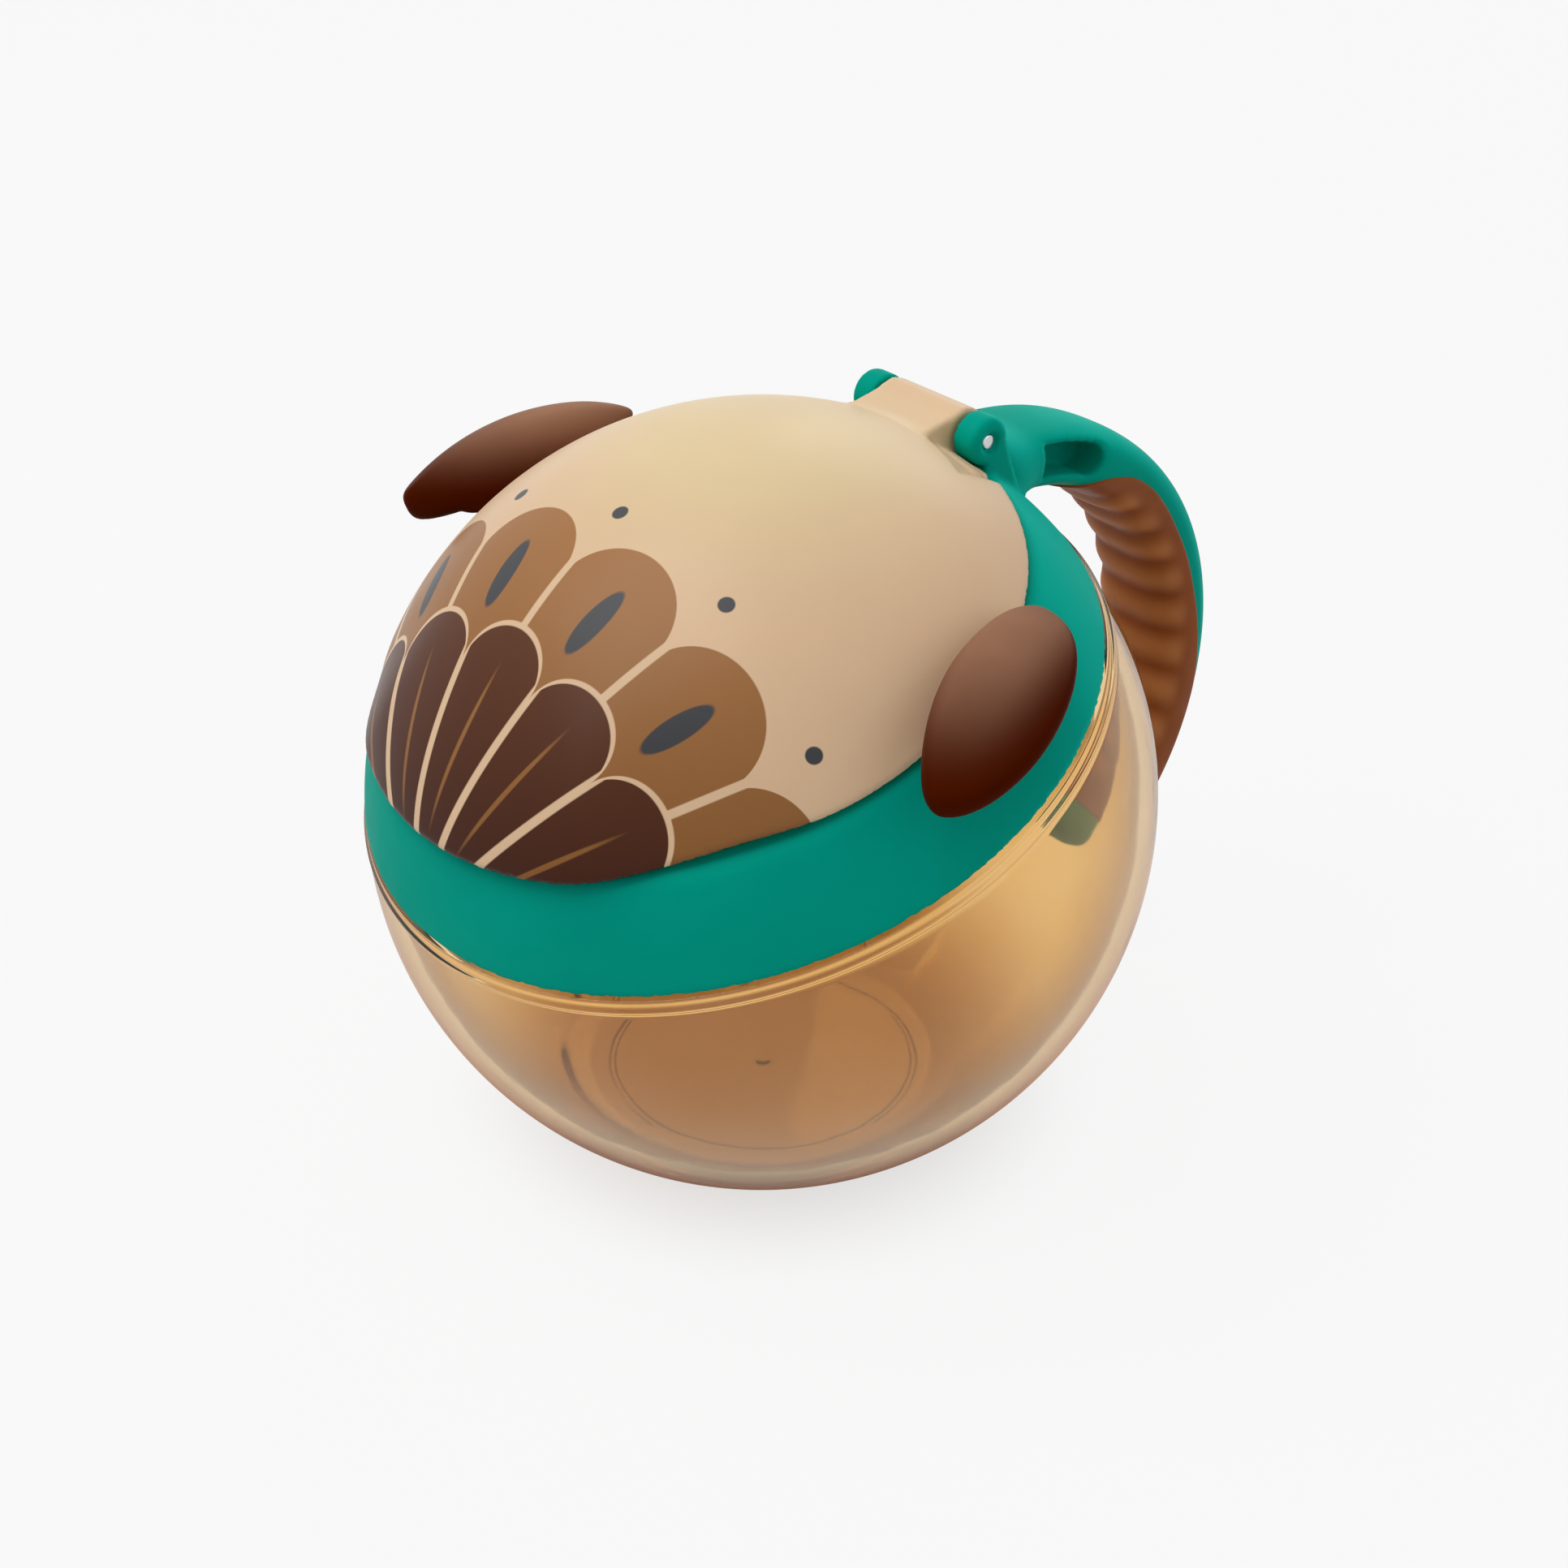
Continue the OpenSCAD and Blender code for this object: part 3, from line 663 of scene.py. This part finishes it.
def lidField(x, y, z):
    u, w = slant(y, z)
    side, ring = np.abs(x), np.hypot(x, u)
    ball, pin = np.hypot(ring, w + lid["drop"]), np.hypot(u - pinBack, w - pinUp)
    turn = np.degrees(np.arctan2(side, -u))
    front = 1 - ease(turn, lid["swellFull"], lid["swellEnd"])
    swell = lid["swell"] * front * (1 - ease(w, lid["swellLow"], lid["swellTop"]))
    low = lid["low"] + lid["wave"] * np.exp(-((turn - lid["waveAt"]) / lid["waveWide"]) ** 2)
    along = np.clip((ring - lid["facetFrom"]) / lid["facetLong"], 0, 1)
    deep = lid["facetDeep"] + (lid["facetDeeper"] - lid["facetDeep"]) * along
    outer = cut(ball - lid["radius"] - swell, 0.5, np.abs(side - lid["facetMiddle"]) - lid["facetHalf"],
                lid["facetFrom"] - ring, -u, lid["radius"] - deep - ball)
    dome = softMax(outer, low - w, lid["rimRound"])
    dome = softMax(dome, lid["radius"] - lid["wall"] - ball, 0.4)
    shelf = overlap(ball - lid["radius"] + lid["shelfIn"], lid["plugIn"] - ring,
                    np.abs(w - low - lid["shelf"] / 2) - lid["shelf"] / 2)
    plug = softMax(softMax(ring - lid["plugOut"], lid["plugIn"] - ring, 0.4), lid["plugLow"] - w, 0.5)
    plug = np.maximum(plug, w - lid["low"] - lid["shelf"])
    shell = softMin(softMin(dome, shelf, 0.5), plug, 0.5)
    house = overlap(pin - lid["house"], side - lid["houseHalf"], u - pinBack, ball - lid["houseRadius"], low - w)
    shell = softMin(shell, house, 0.6)
    lugRoom = softMax(pin - lid["lugRoom"], np.abs(side - lid["lugMiddle"]) - lid["lugHalf"], 0.8)
    shell = softMax(shell, -lugRoom, 0.35)
    barrel = softMax(pin - collar["knuckle"], side - lid["tabHalf"], 0.5)
    tab = softMax(polygonField(lid["tab"], u, w), side - lid["tabHalf"], 0.5)
    shell = softMin(shell, softMin(barrel, tab, 0.6), lid["tabBlend"])
    shell = softMax(shell, lid["pinHole"] - pin, 0.1)
    return cut(shell, 0.2, np.abs(ring - lid["sealRing"]) - lid["sealHalf"], w - lid["sealTop"])


meshPiece("lidDome", *carve(lidField, *lid["box"], lid["cell"]), "lid", "lid", ("lid",), "lid_plastic")
print("lid is carved")


# Side lobes: soft cushions that flare from the lid's flanks, with a crisp free edge and a flat underside
lobe = {
    "round": 100.24, "polar": 53.94, "reach": 51.12, "flare": 46.27, "turn": 12.05,
    "halfLong": 15.13, "outerHalf": 7.5, "rootHalf": 5.22, "squareness": 1.94,
    "crestIn": 2.63, "crestFront": 1.95, "crestUp": 5.05, "crownAcross": 11.67, "crownAlong": 27.76,
    "taperFrom": 8.0, "taper": 0.009, "under": 2.31, "edge": 0.8, "rootEdge": 3.8, "underEdge": 2.0,
    "rootDeep": 5.0, "rootHalfLong": 9.5, "rootEdgeOver": (-1.0, 4.5), "rootDeepOver": (-1.0, 4.0),
    "footLow": 27.4, "fillet": 1.4, "filletTo": 29.4, "lidGap": 0.15,
    "cell": 0.4, "box": ((22, -26, 2), (54, 26, 52)),
}


def turnMatrix(*turns):
    made = Matrix.Identity(3)
    for axis, degrees in turns:
        made = made @ Matrix.Rotation(math.radians(degrees), 3, axis)
    return np.array(made)


lobeBase = turnMatrix(("X", math.degrees(tilt)), ("Z", lobe["round"] - 90), ("Y", lobe["polar"]))
lobeMiddle = lobeBase @ np.array([0, 0, lobe["reach"]])
lobeTurn = lobeBase @ turnMatrix(("Y", -lobe["flare"]), ("Z", lobe["turn"]))


def lobeField(x, y, z):
    u, w = slant(y, z)
    across, along, up = (sum(lobeTurn[j, k] * (p - lobeMiddle[j]) for j, p in enumerate((x, y, z))) for k in range(3))
    wide = np.where(across > 0, lobe["outerHalf"], lobe["rootHalf"])
    outline = plump(lobe["squareness"], [(np.abs(across), wide), (np.abs(along), lobe["halfLong"])], 1e-6, 0.03)
    bend = np.hypot(up - lobe["crestUp"] + lobe["crownAlong"], along + lobe["crestFront"]) - lobe["crownAlong"]
    bend += lobe["crownAcross"] + lobe["taper"] * np.maximum(along - lobe["taperFrom"], 0) ** 2
    top = np.hypot(bend, across + lobe["crestIn"]) - lobe["crownAcross"]
    edge = lobe["edge"] + lobe["rootEdge"] * ease(-across, *lobe["rootEdgeOver"])
    body, bottom = softMax(outline, top, edge), -up - lobe["under"]
    deep = np.clip(1 - (along / lobe["rootHalfLong"]) ** 2, 0, 1)
    deep = lobe["rootDeep"] * ease(-across, *lobe["rootDeepOver"]) * deep
    foot = softMax(softMax(body, bottom - deep, lobe["underEdge"]), lobe["footLow"] - w, 0.8)
    pad = softMin(softMax(body, bottom, lobe["underEdge"]), foot, 0.2)
    dome = np.hypot(np.hypot(x, u), w + lid["drop"]) - lid["radius"]
    fillet = 0.1 + lobe["fillet"] * ease(w, lobe["footLow"], lobe["filletTo"])
    return np.maximum(softMin(pad, dome, fillet), lobe["lidGap"] - dome)


points, quads = carve(lobeField, *lobe["box"], lobe["cell"])
for name, sign, node in (("lobeRight", 1, "lobe_right"), ("lobeLeft", -1, "lobe_left")):
    meshPiece(name, points * [sign, 1, 1], quads[:, ::sign], "lobe", "lid", (node,), "lobe_rubber")
print("lobes are carved")


# The clear bowl: rings that lean over from the level base to the slanted mouth
bowl = {
    "around": 224, "leanUp": 52.2, "wall": 2.0, "floor": 2.4, "seamAt": 14.3, "ledge": 2.0,
    "neckOut": 34.4, "neckIn": 32.4, "neckTop": 20.2, "beadAt": 13.2, "bead": 0.22, "beadHalf": 0.4,
    "footUp": 0.01, "discUp": 0.3, "discTo": 18.1, "footFrom": 19.9, "footTo": 21.2, "gate": 0.9,
}


def ballRing(height, radius=ballR):  # where a ball's wall is at a height
    return math.sqrt(radius ** 2 - height ** 2), height


def leaning(height):  # how far a ring at this height has turned towards the mouth's slant
    return tilt * min(1, max(0, (height + ballUp) / bowl["leanUp"]))


def bowlLoops():
    down = -ballUp
    foot, disc, gate = down + bowl["footUp"], down + bowl["discUp"], bowl["gate"]
    discTo, footFrom, footTo = bowl["discTo"], bowl["footFrom"], bowl["footTo"]
    level = [(0.4, disc - 0.18), (gate - 0.2, disc - 0.18), (gate, disc - 0.05), (2.2, disc), (7, disc), (12.5, disc),
             (discTo, disc), (discTo + 0.35, disc + 0.01), (discTo + 0.5, disc + 0.06), (discTo + 0.55, down + 0.62),
             (discTo + 0.7, down + 0.7), (footFrom - 0.7, down + 0.7), (footFrom - 0.55, down + 0.62),
             (footFrom - 0.5, down + 0.12), (footFrom - 0.35, down + 0.03), (footFrom, foot), (footTo, foot),
             (footTo + 0.7, down + 0.04), (footTo + 1.3, down + 0.16), (footTo + 1.85, down + 0.42)]
    outside = [ballRing(height) for height in [*np.linspace(-39.25, 12.3, 84), 12.6]]
    bead = []  # a fine one just under the collar
    for t in np.linspace(-1, 1, 9):
        radius, height = ballRing(bowl["beadAt"] + t * bowl["beadHalf"])
        bead.append((radius + bowl["bead"] * (1 - t * t), height))
    seam = bowl["seamAt"]
    rim = ballRing(seam)[0]
    top, out, inn, under = bowl["neckTop"], bowl["neckOut"], bowl["neckIn"], seam - bowl["ledge"]
    slanted = [(rim + 0.08, seam - 0.35), (rim, seam - 0.12), (rim - 0.25, seam), (rim - 1.2, seam), (38.5, seam),
               (out + 0.9, seam), (out + 0.3, seam + 0.12), (out + 0.06, seam + 0.4), (out, seam + 1), (out, 17.5),
               (out, top - 0.7), (out - 0.06, top - 0.3), (out - 0.3, top - 0.06), (out - 0.7, top),
               (inn + 0.7, top), (inn + 0.3, top - 0.06), (inn + 0.06, top - 0.3), (inn, top - 0.7), (inn, 16.5),
               (inn, under + 0.9), (inn + 0.08, under + 0.35), (inn + 0.35, under + 0.08), (inn + 0.9, under),
               (36.5, under), (40.4, under), (41.2, under - 0.12), (41.8, under - 0.5)]
    inside = [ballRing(height, ballR - bowl["wall"]) for height in np.linspace(11.2, -35.6, 76)]
    low = down + bowl["floor"]
    floor = [(25.0, low + 1.35), (24.1, low + 0.75), (23.1, low + 0.33), (22.0, low + 0.08), (20.8, low), (15, low),
             (9, low), (4, low), (0.5, low)]
    stages = [(level, 0), (outside, None), (bead + slanted, tilt), (inside, None), (floor, 0)]
    return [hoop(radius, height, bowl["around"], leaning(height) if lean is None else lean)
            for outline, lean in stages for radius, height in outline]


loftPiece("bowlShell", bowlLoops(), "amber", "bowl", ("bowl",), "bowl_plastic")
print("bowl is lofted")


# Turned rings: the two seals and the snap ring
def rounded(corners, radius, spacing=1.5):  # a closed outline with rounded corners
    corners = [np.array(c, float) for c in corners]
    outline = []
    for k, corner in enumerate(corners):
        sides = [corners[k - 1] - corner, corners[(k + 1) % len(corners)] - corner]
        lengths = [np.linalg.norm(side) for side in sides]
        reach = min(radius, 0.45 * min(lengths))
        first, last = (corner + reach * side / length for side, length in zip(sides, lengths))
        if outline:
            gap = first - outline[-1]
            extra = int(np.linalg.norm(gap) / spacing)
            outline += [outline[-1] + gap * (j + 1) / (extra + 1) for j in range(extra)]
        outline += [(1 - t) ** 2 * first + 2 * t * (1 - t) * corner + t * t * last for t in np.linspace(0, 1, 5)]
    return np.array(outline)


def turnedRing(name, rIn, rOut, low, high, radius, finish, body, node, slotName):
    outline = rounded([(rIn, low), (rOut, low), (rOut, high), (rIn, high)], radius)
    loftPiece(name, [hoop(r, w, ringSteps) for r, w in outline], finish, body, (node,), slotName, closed=True)


ringSteps = 160
rings = {  # inner and outer radius, lower and upper height, corner radius
    "bowlSeal": (32.6, 34.3, 20.2, 21.2, 0.4, "silicone", "seal", "bowl_seal", "soft_silicone"),
    "snapRing": (33.0, 36.0, 21.2, 22.2, 0.3, "ring", "collar", "retainer_ring", "ring_plastic"),
    "lidSeal": (34.2, 35.8, 26.65, 27.45, 0.4, "silicone", "lid", "lid_seal", "soft_silicone"),
}
for name, values in rings.items():
    turnedRing(name, *values)
print("rings are turned")


# The handle's ribbed grip skin: its edge follows the line where the teal begins
grip = {
    "from": 72.5, "to": -47.5, "proud": 0.3, "sunk": 0.15, "deep": 0.7, "edge": 0.4,
    "stations": 200, "across": 56, "fine": 721,
    "border": [(-60, 1.8), (-34, 1.7), (-12, 1.5), (-4, 1.0), (5, 0.4), (14, -0.1), (31, -0.25), (38, 0), (45, 0.25),
               (51, 0.2), (55.5, -0.15), (59, -0.8), (62.6, -1.5), (65.3, -2.3), (67, -3.1), (70, -3.8), (72.5, -4.1)],
    "ribPitch": 6.1, "ribHeight": 0.5, "ribPower": 0.75, "ribFrom": 62.0, "ribTo": -43.0, "ribFade": (0.2, 0.85),
}


def gripBorder(angle):
    angles, offsets = zip(*grip["border"])
    near = np.linspace(angle - 2, angle + 2, 5)
    return float(np.mean(np.interp(near, angles, offsets)))


def signedPower(value, n):  # keeps the sign
    return np.sign(value) * np.abs(value) ** n


def sectionArc(angle, count):  # points and outward normals round the section's inner side, edge to edge
    wide, thick, n = float(handleWide(np.array(angle))), handle["halfThick"], handle["squareness"]
    border = max(-0.995 * thick, min(0.95 * thick, gripBorder(angle)))
    first = math.asin(signedPower(border / thick, n / 2))
    turn = np.linspace(first, -math.pi - first, grip["fine"])
    side, offset = wide * signedPower(np.cos(turn), 2 / n), thick * signedPower(np.sin(turn), 2 / n)
    run = np.concatenate([[0], np.cumsum(np.hypot(np.diff(side), np.diff(offset)))])
    share = np.linspace(-1, 1, count)
    share = 0.5 + 0.5 * np.sign(share) * (1 - (1 - np.abs(share)) ** 1.5)  # closer together at the edges
    at = run[-1] * share
    side, offset = np.interp(at, run, side), np.interp(at, run, offset)
    facing = np.stack([signedPower(side / wide, n - 1) / wide, signedPower(offset / thick, n - 1) / thick], -1)
    facing /= np.linalg.norm(facing, axis=1, keepdims=True)
    return np.stack([side, offset], -1), facing, np.minimum(at, run[-1] - at)


def onArc(section, angle):  # (side, offset) of a section at an angle along the handle, to upright mm
    a = math.radians(angle)
    reach = arcR + section[:, 1]
    return np.stack([section[:, 0], arcBack + reach * math.cos(a), arcUp + reach * math.sin(a)], -1)


def gripSkin():
    points, along, inner = [], [], []
    count, around = grip["across"], 2 * grip["across"]
    angles = np.linspace(grip["from"], grip["to"], grip["stations"])
    for angle in angles:
        section, facing, edge = sectionArc(angle, count)
        nearEnd = math.radians(min(grip["from"] - angle, angle - grip["to"])) * arcR
        edge = np.clip(np.minimum(edge, nearEnd) / grip["edge"], 0, 1)
        height = (grip["proud"] + grip["sunk"]) * np.sqrt(1 - (1 - edge) ** 2) - grip["sunk"]
        under = section - facing * grip["deep"]
        points += [onArc(section + facing * height[:, None], angle), onArc(under[::-1], angle)]
        along += [np.full(around, math.radians(angle) * arcR * mm)]
        inner += [ease(-facing[:, 1], *grip["ribFade"]) * ease(edge, 0.1, 1), np.zeros(count)]
    points = np.concatenate(points)
    faces = loopFaces(len(angles), around)
    for first, flip in ((0, True), ((len(angles) - 1) * around, False)):
        for j in range(count - 1):
            face = (first + j, first + j + 1, first + around - 2 - j, first + around - 1 - j)
            faces.append(face[::-1] if flip else face)
    return points, outwards(points, faces), {"along": np.concatenate(along), "inner": np.concatenate(inner)}


def newTree(name, sizes):  # a Geometry Nodes tree with one input for each size
    tree = bpy.data.node_groups.new(name, "GeometryNodeTree")
    tree.is_modifier = True
    tree.interface.new_socket("Geometry", in_out="INPUT", socket_type="NodeSocketGeometry")
    for key, value in sizes.items():
        tree.interface.new_socket(key, in_out="INPUT", socket_type="NodeSocketFloat").default_value = value
    tree.interface.new_socket("Geometry", in_out="OUTPUT", socket_type="NodeSocketGeometry")
    return tree, {socket.name: Wire(socket) for socket in tree.nodes.new("NodeGroupInput").outputs}


def closeTree(tree, geometry, finish):
    solid = wire(tree, "GeometryNodeRealizeInstances", {"Geometry": geometry})
    coloured = wire(tree, "GeometryNodeSetMaterial", {"Geometry": solid, "Material": finishes[finish]})
    put(tree, "NodeGroupOutput", {"Geometry": coloured})


def tipped(geometry):  # from the slanted frame, in metres, to the upright one
    return wire(None, "GeometryNodeTransform",
                {"Geometry": geometry, "Translation": (0, 0, ballUp * mm), "Rotation": (tilt, 0, 0)})


def grow(piece, tree, sizes, body, nodes=()):  # runs the tree once and keeps its plain mesh
    modifier = piece.modifiers.new("grow", "NODES")
    modifier.node_group = tree
    for item in tree.interface.items_tree:
        if item.in_out == "INPUT" and item.name in sizes:
            modifier[item.identifier] = float(sizes[item.name])
    bpy.context.view_layer.update()
    made = bpy.data.meshes.new_from_object(piece.evaluated_get(bpy.context.evaluated_depsgraph_get()))
    piece.modifiers.remove(modifier)
    piece.data = made
    made.polygons.foreach_set("use_smooth", np.ones(len(made.polygons), bool))
    settle(piece, body, nodes)


def emptyPiece(name):
    return newObject(name, bpy.data.meshes.new(name))


def ribTree(sizes):
    tree, size = newTree("gripRibs", sizes)
    along, inner = (wire(tree, "GeometryNodeInputNamedAttribute", {"Name": name}, data_type="FLOAT")
                    for name in ("along", "inner"))
    wave = maths("COSINE", (along - size["First"]) / size["Pitch"] * (2 * math.pi)) * 0.5 + 0.5
    started = between(along, size["First"], size["First"] - size["Pitch"])
    ended = between(along, size["Last"], size["Last"] + size["Pitch"])
    ridge = maths("POWER", wave, grip["ribPower"]) * inner * (started * ended)
    normal = wire(tree, "GeometryNodeInputNormal")
    push = wire(tree, "ShaderNodeVectorMath", {0: normal, 3: ridge * size["Height"]}, operation="SCALE")
    kept = wire(tree, "GeometryNodeStoreNamedAttribute",
                {"Geometry": size["Geometry"], "Name": "ridge", "Value": ridge}, data_type="FLOAT", domain="POINT")
    closeTree(tree, wire(tree, "GeometryNodeSetPosition", {"Geometry": kept, "Offset": push}), "grip")
    return tree


points, faces, marks = gripSkin()
skin = meshPiece("handleGrip", points, faces, "grip", None, attributes=marks)
ribs = {"Pitch": grip["ribPitch"] * mm, "Height": grip["ribHeight"] * mm,
        "First": math.radians(grip["ribFrom"]) * arcR * mm, "Last": math.radians(grip["ribTo"]) * arcR * mm}
grow(skin, ribTree(ribs), ribs, "collar", ("handle_grip",))
print("grip is ribbed")


# Screw threads: three round ridges on the neck, three in the collar
thread = {
    "bead": 0.75, "lead": 16.0, "starts": 3, "fine": 220, "sides": 14, "taper": 0.12,
    "neckRadius": 34.85, "neckLow": 17.1, "neckFrom": 0.0, "neckSpan": 50.0,
    "collarRadius": 35.55, "collarLow": 16.27, "collarFrom": 24.0, "collarSpan": 26.0,
}


def threadTree(finish, sizes):
    tree, size = newTree("threads_" + finish, sizes)
    turns = size["Span"] / (2 * math.pi)
    spiral = wire(tree, "GeometryNodeCurveSpiral",
                  {"Resolution": thread["fine"], "Rotations": turns, "Start Radius": size["Radius"],
                   "End Radius": size["Radius"], "Height": turns * size["Lead"], "Reverse": True})
    upright = wire(tree, "GeometryNodeSetCurveNormal", {"Curve": spiral}, mode="Z_UP")
    along = wire(tree, "GeometryNodeSplineParameter", output="Factor")
    taper = maths("SQRT", between(maths("MINIMUM", along, 1.0 - along), 0.0, thread["taper"], 0.02, 1.0))
    shaped = wire(tree, "GeometryNodeSetCurveRadius", {"Curve": upright, "Radius": taper})
    profile = wire(tree, "GeometryNodeCurvePrimitiveCircle", {"Resolution": thread["sides"], "Radius": size["Bead"]})
    tube = wire(tree, "GeometryNodeCurveToMesh", {"Curve": shaped, "Profile Curve": profile, "Fill Caps": True})
    starts = wire(tree, "GeometryNodeMeshLine", {"Count": thread["starts"], "Offset": (0, 0, 0)})
    turn = wire(tree, "GeometryNodeInputIndex") * (2 * math.pi / thread["starts"]) + size["From"]
    copies = wire(tree, "GeometryNodeInstanceOnPoints",
                  {"Points": starts, "Instance": tube, "Rotation": wire(tree, "ShaderNodeCombineXYZ", {"Z": turn})})
    lift = wire(tree, "ShaderNodeCombineXYZ", {"Z": size["Low"]})
    closeTree(tree, tipped(wire(tree, "GeometryNodeTransform", {"Geometry": copies, "Translation": lift})), finish)
    return tree


for name, finish, body, key, slotName in (("neckThread", "amber", "bowl", "neck", "bowl_plastic"),
                                          ("collarThread", "teal", "collar", "collar", "collar_plastic")):
    sizes = {"Radius": thread[key + "Radius"] * mm, "Low": thread[key + "Low"] * mm,
             "From": math.radians(thread[key + "From"]), "Span": math.radians(thread[key + "Span"]),
             "Lead": thread["lead"] * mm, "Bead": thread["bead"] * mm}
    grow(emptyPiece(name), threadTree(finish, sizes), sizes, body, ())
print("threads are wound")


# Soft flaps: a ring with a six-sided hole, and six petals
flap = {
    "count": 6, "root": 23.0, "tip": 1.2, "slit": 0.3, "thick": 1.2, "top": 23.8, "edge": 0.6,
    "rimOut": 35.6, "rimLow": 22.2, "rimIn": 33.0, "bendFrom": 22.95, "bendTo": 21.6,
    "around": 384, "fine": 72, "fineAcross": 41,
}


def flapRingLoops():
    a = np.linspace(0, 2 * np.pi, flap["around"], endpoint=False)
    step = 2 * np.pi / flap["count"]
    hole = flap["root"] / np.cos(a % step - step / 2)
    top, low, web = flap["top"], flap["rimLow"], flap["top"] - flap["thick"]
    out, inn, r, e = flap["rimOut"], flap["rimIn"], flap["thick"] / 2, 0.3
    outline = [(hole + 0.05 + r * (1 - math.cos(t)), top - r + r * math.sin(t))
               for t in np.linspace(-math.pi / 2, math.pi / 2, 9)]
    outline += [(hole * (1 - t) + (out - e) * t, top) for t in (0.15, 0.4, 0.7, 1)]
    outline += [(out - 0.09, top - 0.09), (out, top - e), (out, low + e), (out - 0.09, low + 0.09),
                (out - e, low), (inn + e, low), (inn + 0.05, low + 0.09), (inn, low + e - 0.05),
                (inn - 0.1, web - 0.02), (inn - 0.4, web)]
    outline += [(hole * (1 - t) + (inn - 0.6) * t, web) for t in (0.75, 0.4, 0.15)]
    return [hoop(radius, height, flap["around"]) for radius, height in outline]


loftPiece("flapRing", flapRingLoops(), "silicone", "collar", ("flap_ring",), "soft_silicone", closed=True)


def petalTree(sizes):
    tree, size = newTree("petal", sizes)
    half = math.pi / flap["count"]
    both = tree.nodes.new("GeometryNodeJoinGeometry")
    for sign in (1, -1):  # the upper side, then the lower one
        grid = wire(tree, "GeometryNodeMeshGrid",
                    {"Size X": 1.0, "Size Y": 1.0, "Vertices X": flap["fine"], "Vertices Y": flap["fineAcross"]})
        gridX, gridY, _ = parts(wire(tree, "GeometryNodeInputPosition"))
        share = maths("SINE", gridX * math.pi) * 0.5 + 0.5
        radial = share * (size["Root"] - size["Tip"]) + size["Tip"]
        wide = radial * math.tan(half) - size["Slit"] / math.cos(half)
        across = maths("SINE", gridY * math.pi)
        inFromEnds = maths("MINIMUM", size["Root"] - radial, radial - size["Tip"])
        edge = maths("MINIMUM", wide * (1.0 - maths("ABSOLUTE", across)), inFromEnds)
        dip = 1.0 - maths("DIVIDE", edge, size["Edge"], clamp=True)
        swell = maths("SQRT", maths("SUBTRACT", 1.0, dip * dip, clamp=True))
        thickHalf = size["Thick"] * 0.5
        height = swell * thickHalf * sign + (size["Top"] - thickHalf)
        place = wire(tree, "ShaderNodeCombineXYZ", {"X": radial, "Y": across * wide, "Z": height})
        side = wire(tree, "GeometryNodeSetPosition", {"Geometry": grid, "Position": place})
        if sign < 0:
            side = wire(tree, "GeometryNodeFlipFaces", {"Mesh": side})
        tree.links.new(side.socket, both.inputs[0])
    closed = wire(tree, "GeometryNodeMergeByDistance", {"Geometry": Wire(both.outputs[0]), "Distance": 0.002 * mm})
    turn = wire(tree, "ShaderNodeCombineXYZ", {"Z": size["Turn"]})
    closeTree(tree, tipped(wire(tree, "GeometryNodeTransform", {"Geometry": closed, "Rotation": turn})), "silicone")
    return tree


petalSizes = {"Turn": 0.0, **{key.title(): flap[key] * mm for key in ("root", "tip", "slit", "thick", "top", "edge")}}
petals = petalTree(petalSizes)
for k in range(1, flap["count"] + 1):
    facing = (2 * k - 1) * math.pi / flap["count"]
    petal = emptyPiece(f"flapPetal{k}")
    grow(petal, petals, {**petalSizes, "Turn": facing}, None)
    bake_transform(petal)
    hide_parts(f"flap_{k}")
print("flaps are cut")


# The steel pin, with chamfered ends
hinge = {"pin": 0.94, "half": 9.9, "chamfer": 0.2, "around": 40}


def pinLoops():
    r, half, bevel = hinge["pin"], hinge["half"], hinge["chamfer"]
    profile = [(half, 0.3), (half, r - bevel), (half - 0.08, r - 0.1), (half - bevel, r), (half - 1, r), (3, r)]
    profile = [(-x, radius) for x, radius in profile] + profile[::-1]
    a = np.linspace(0, 2 * np.pi, hinge["around"], endpoint=False)
    return [toUpright(np.stack([np.full(a.shape, x), pinBack + radius * np.cos(a), pinUp + radius * np.sin(a)], -1))
            for x, radius in profile]


loftPiece("hingePin", pinLoops(), "steel", "collar", ("hinge_pin",), "pin_steel")
print("pin is turned")
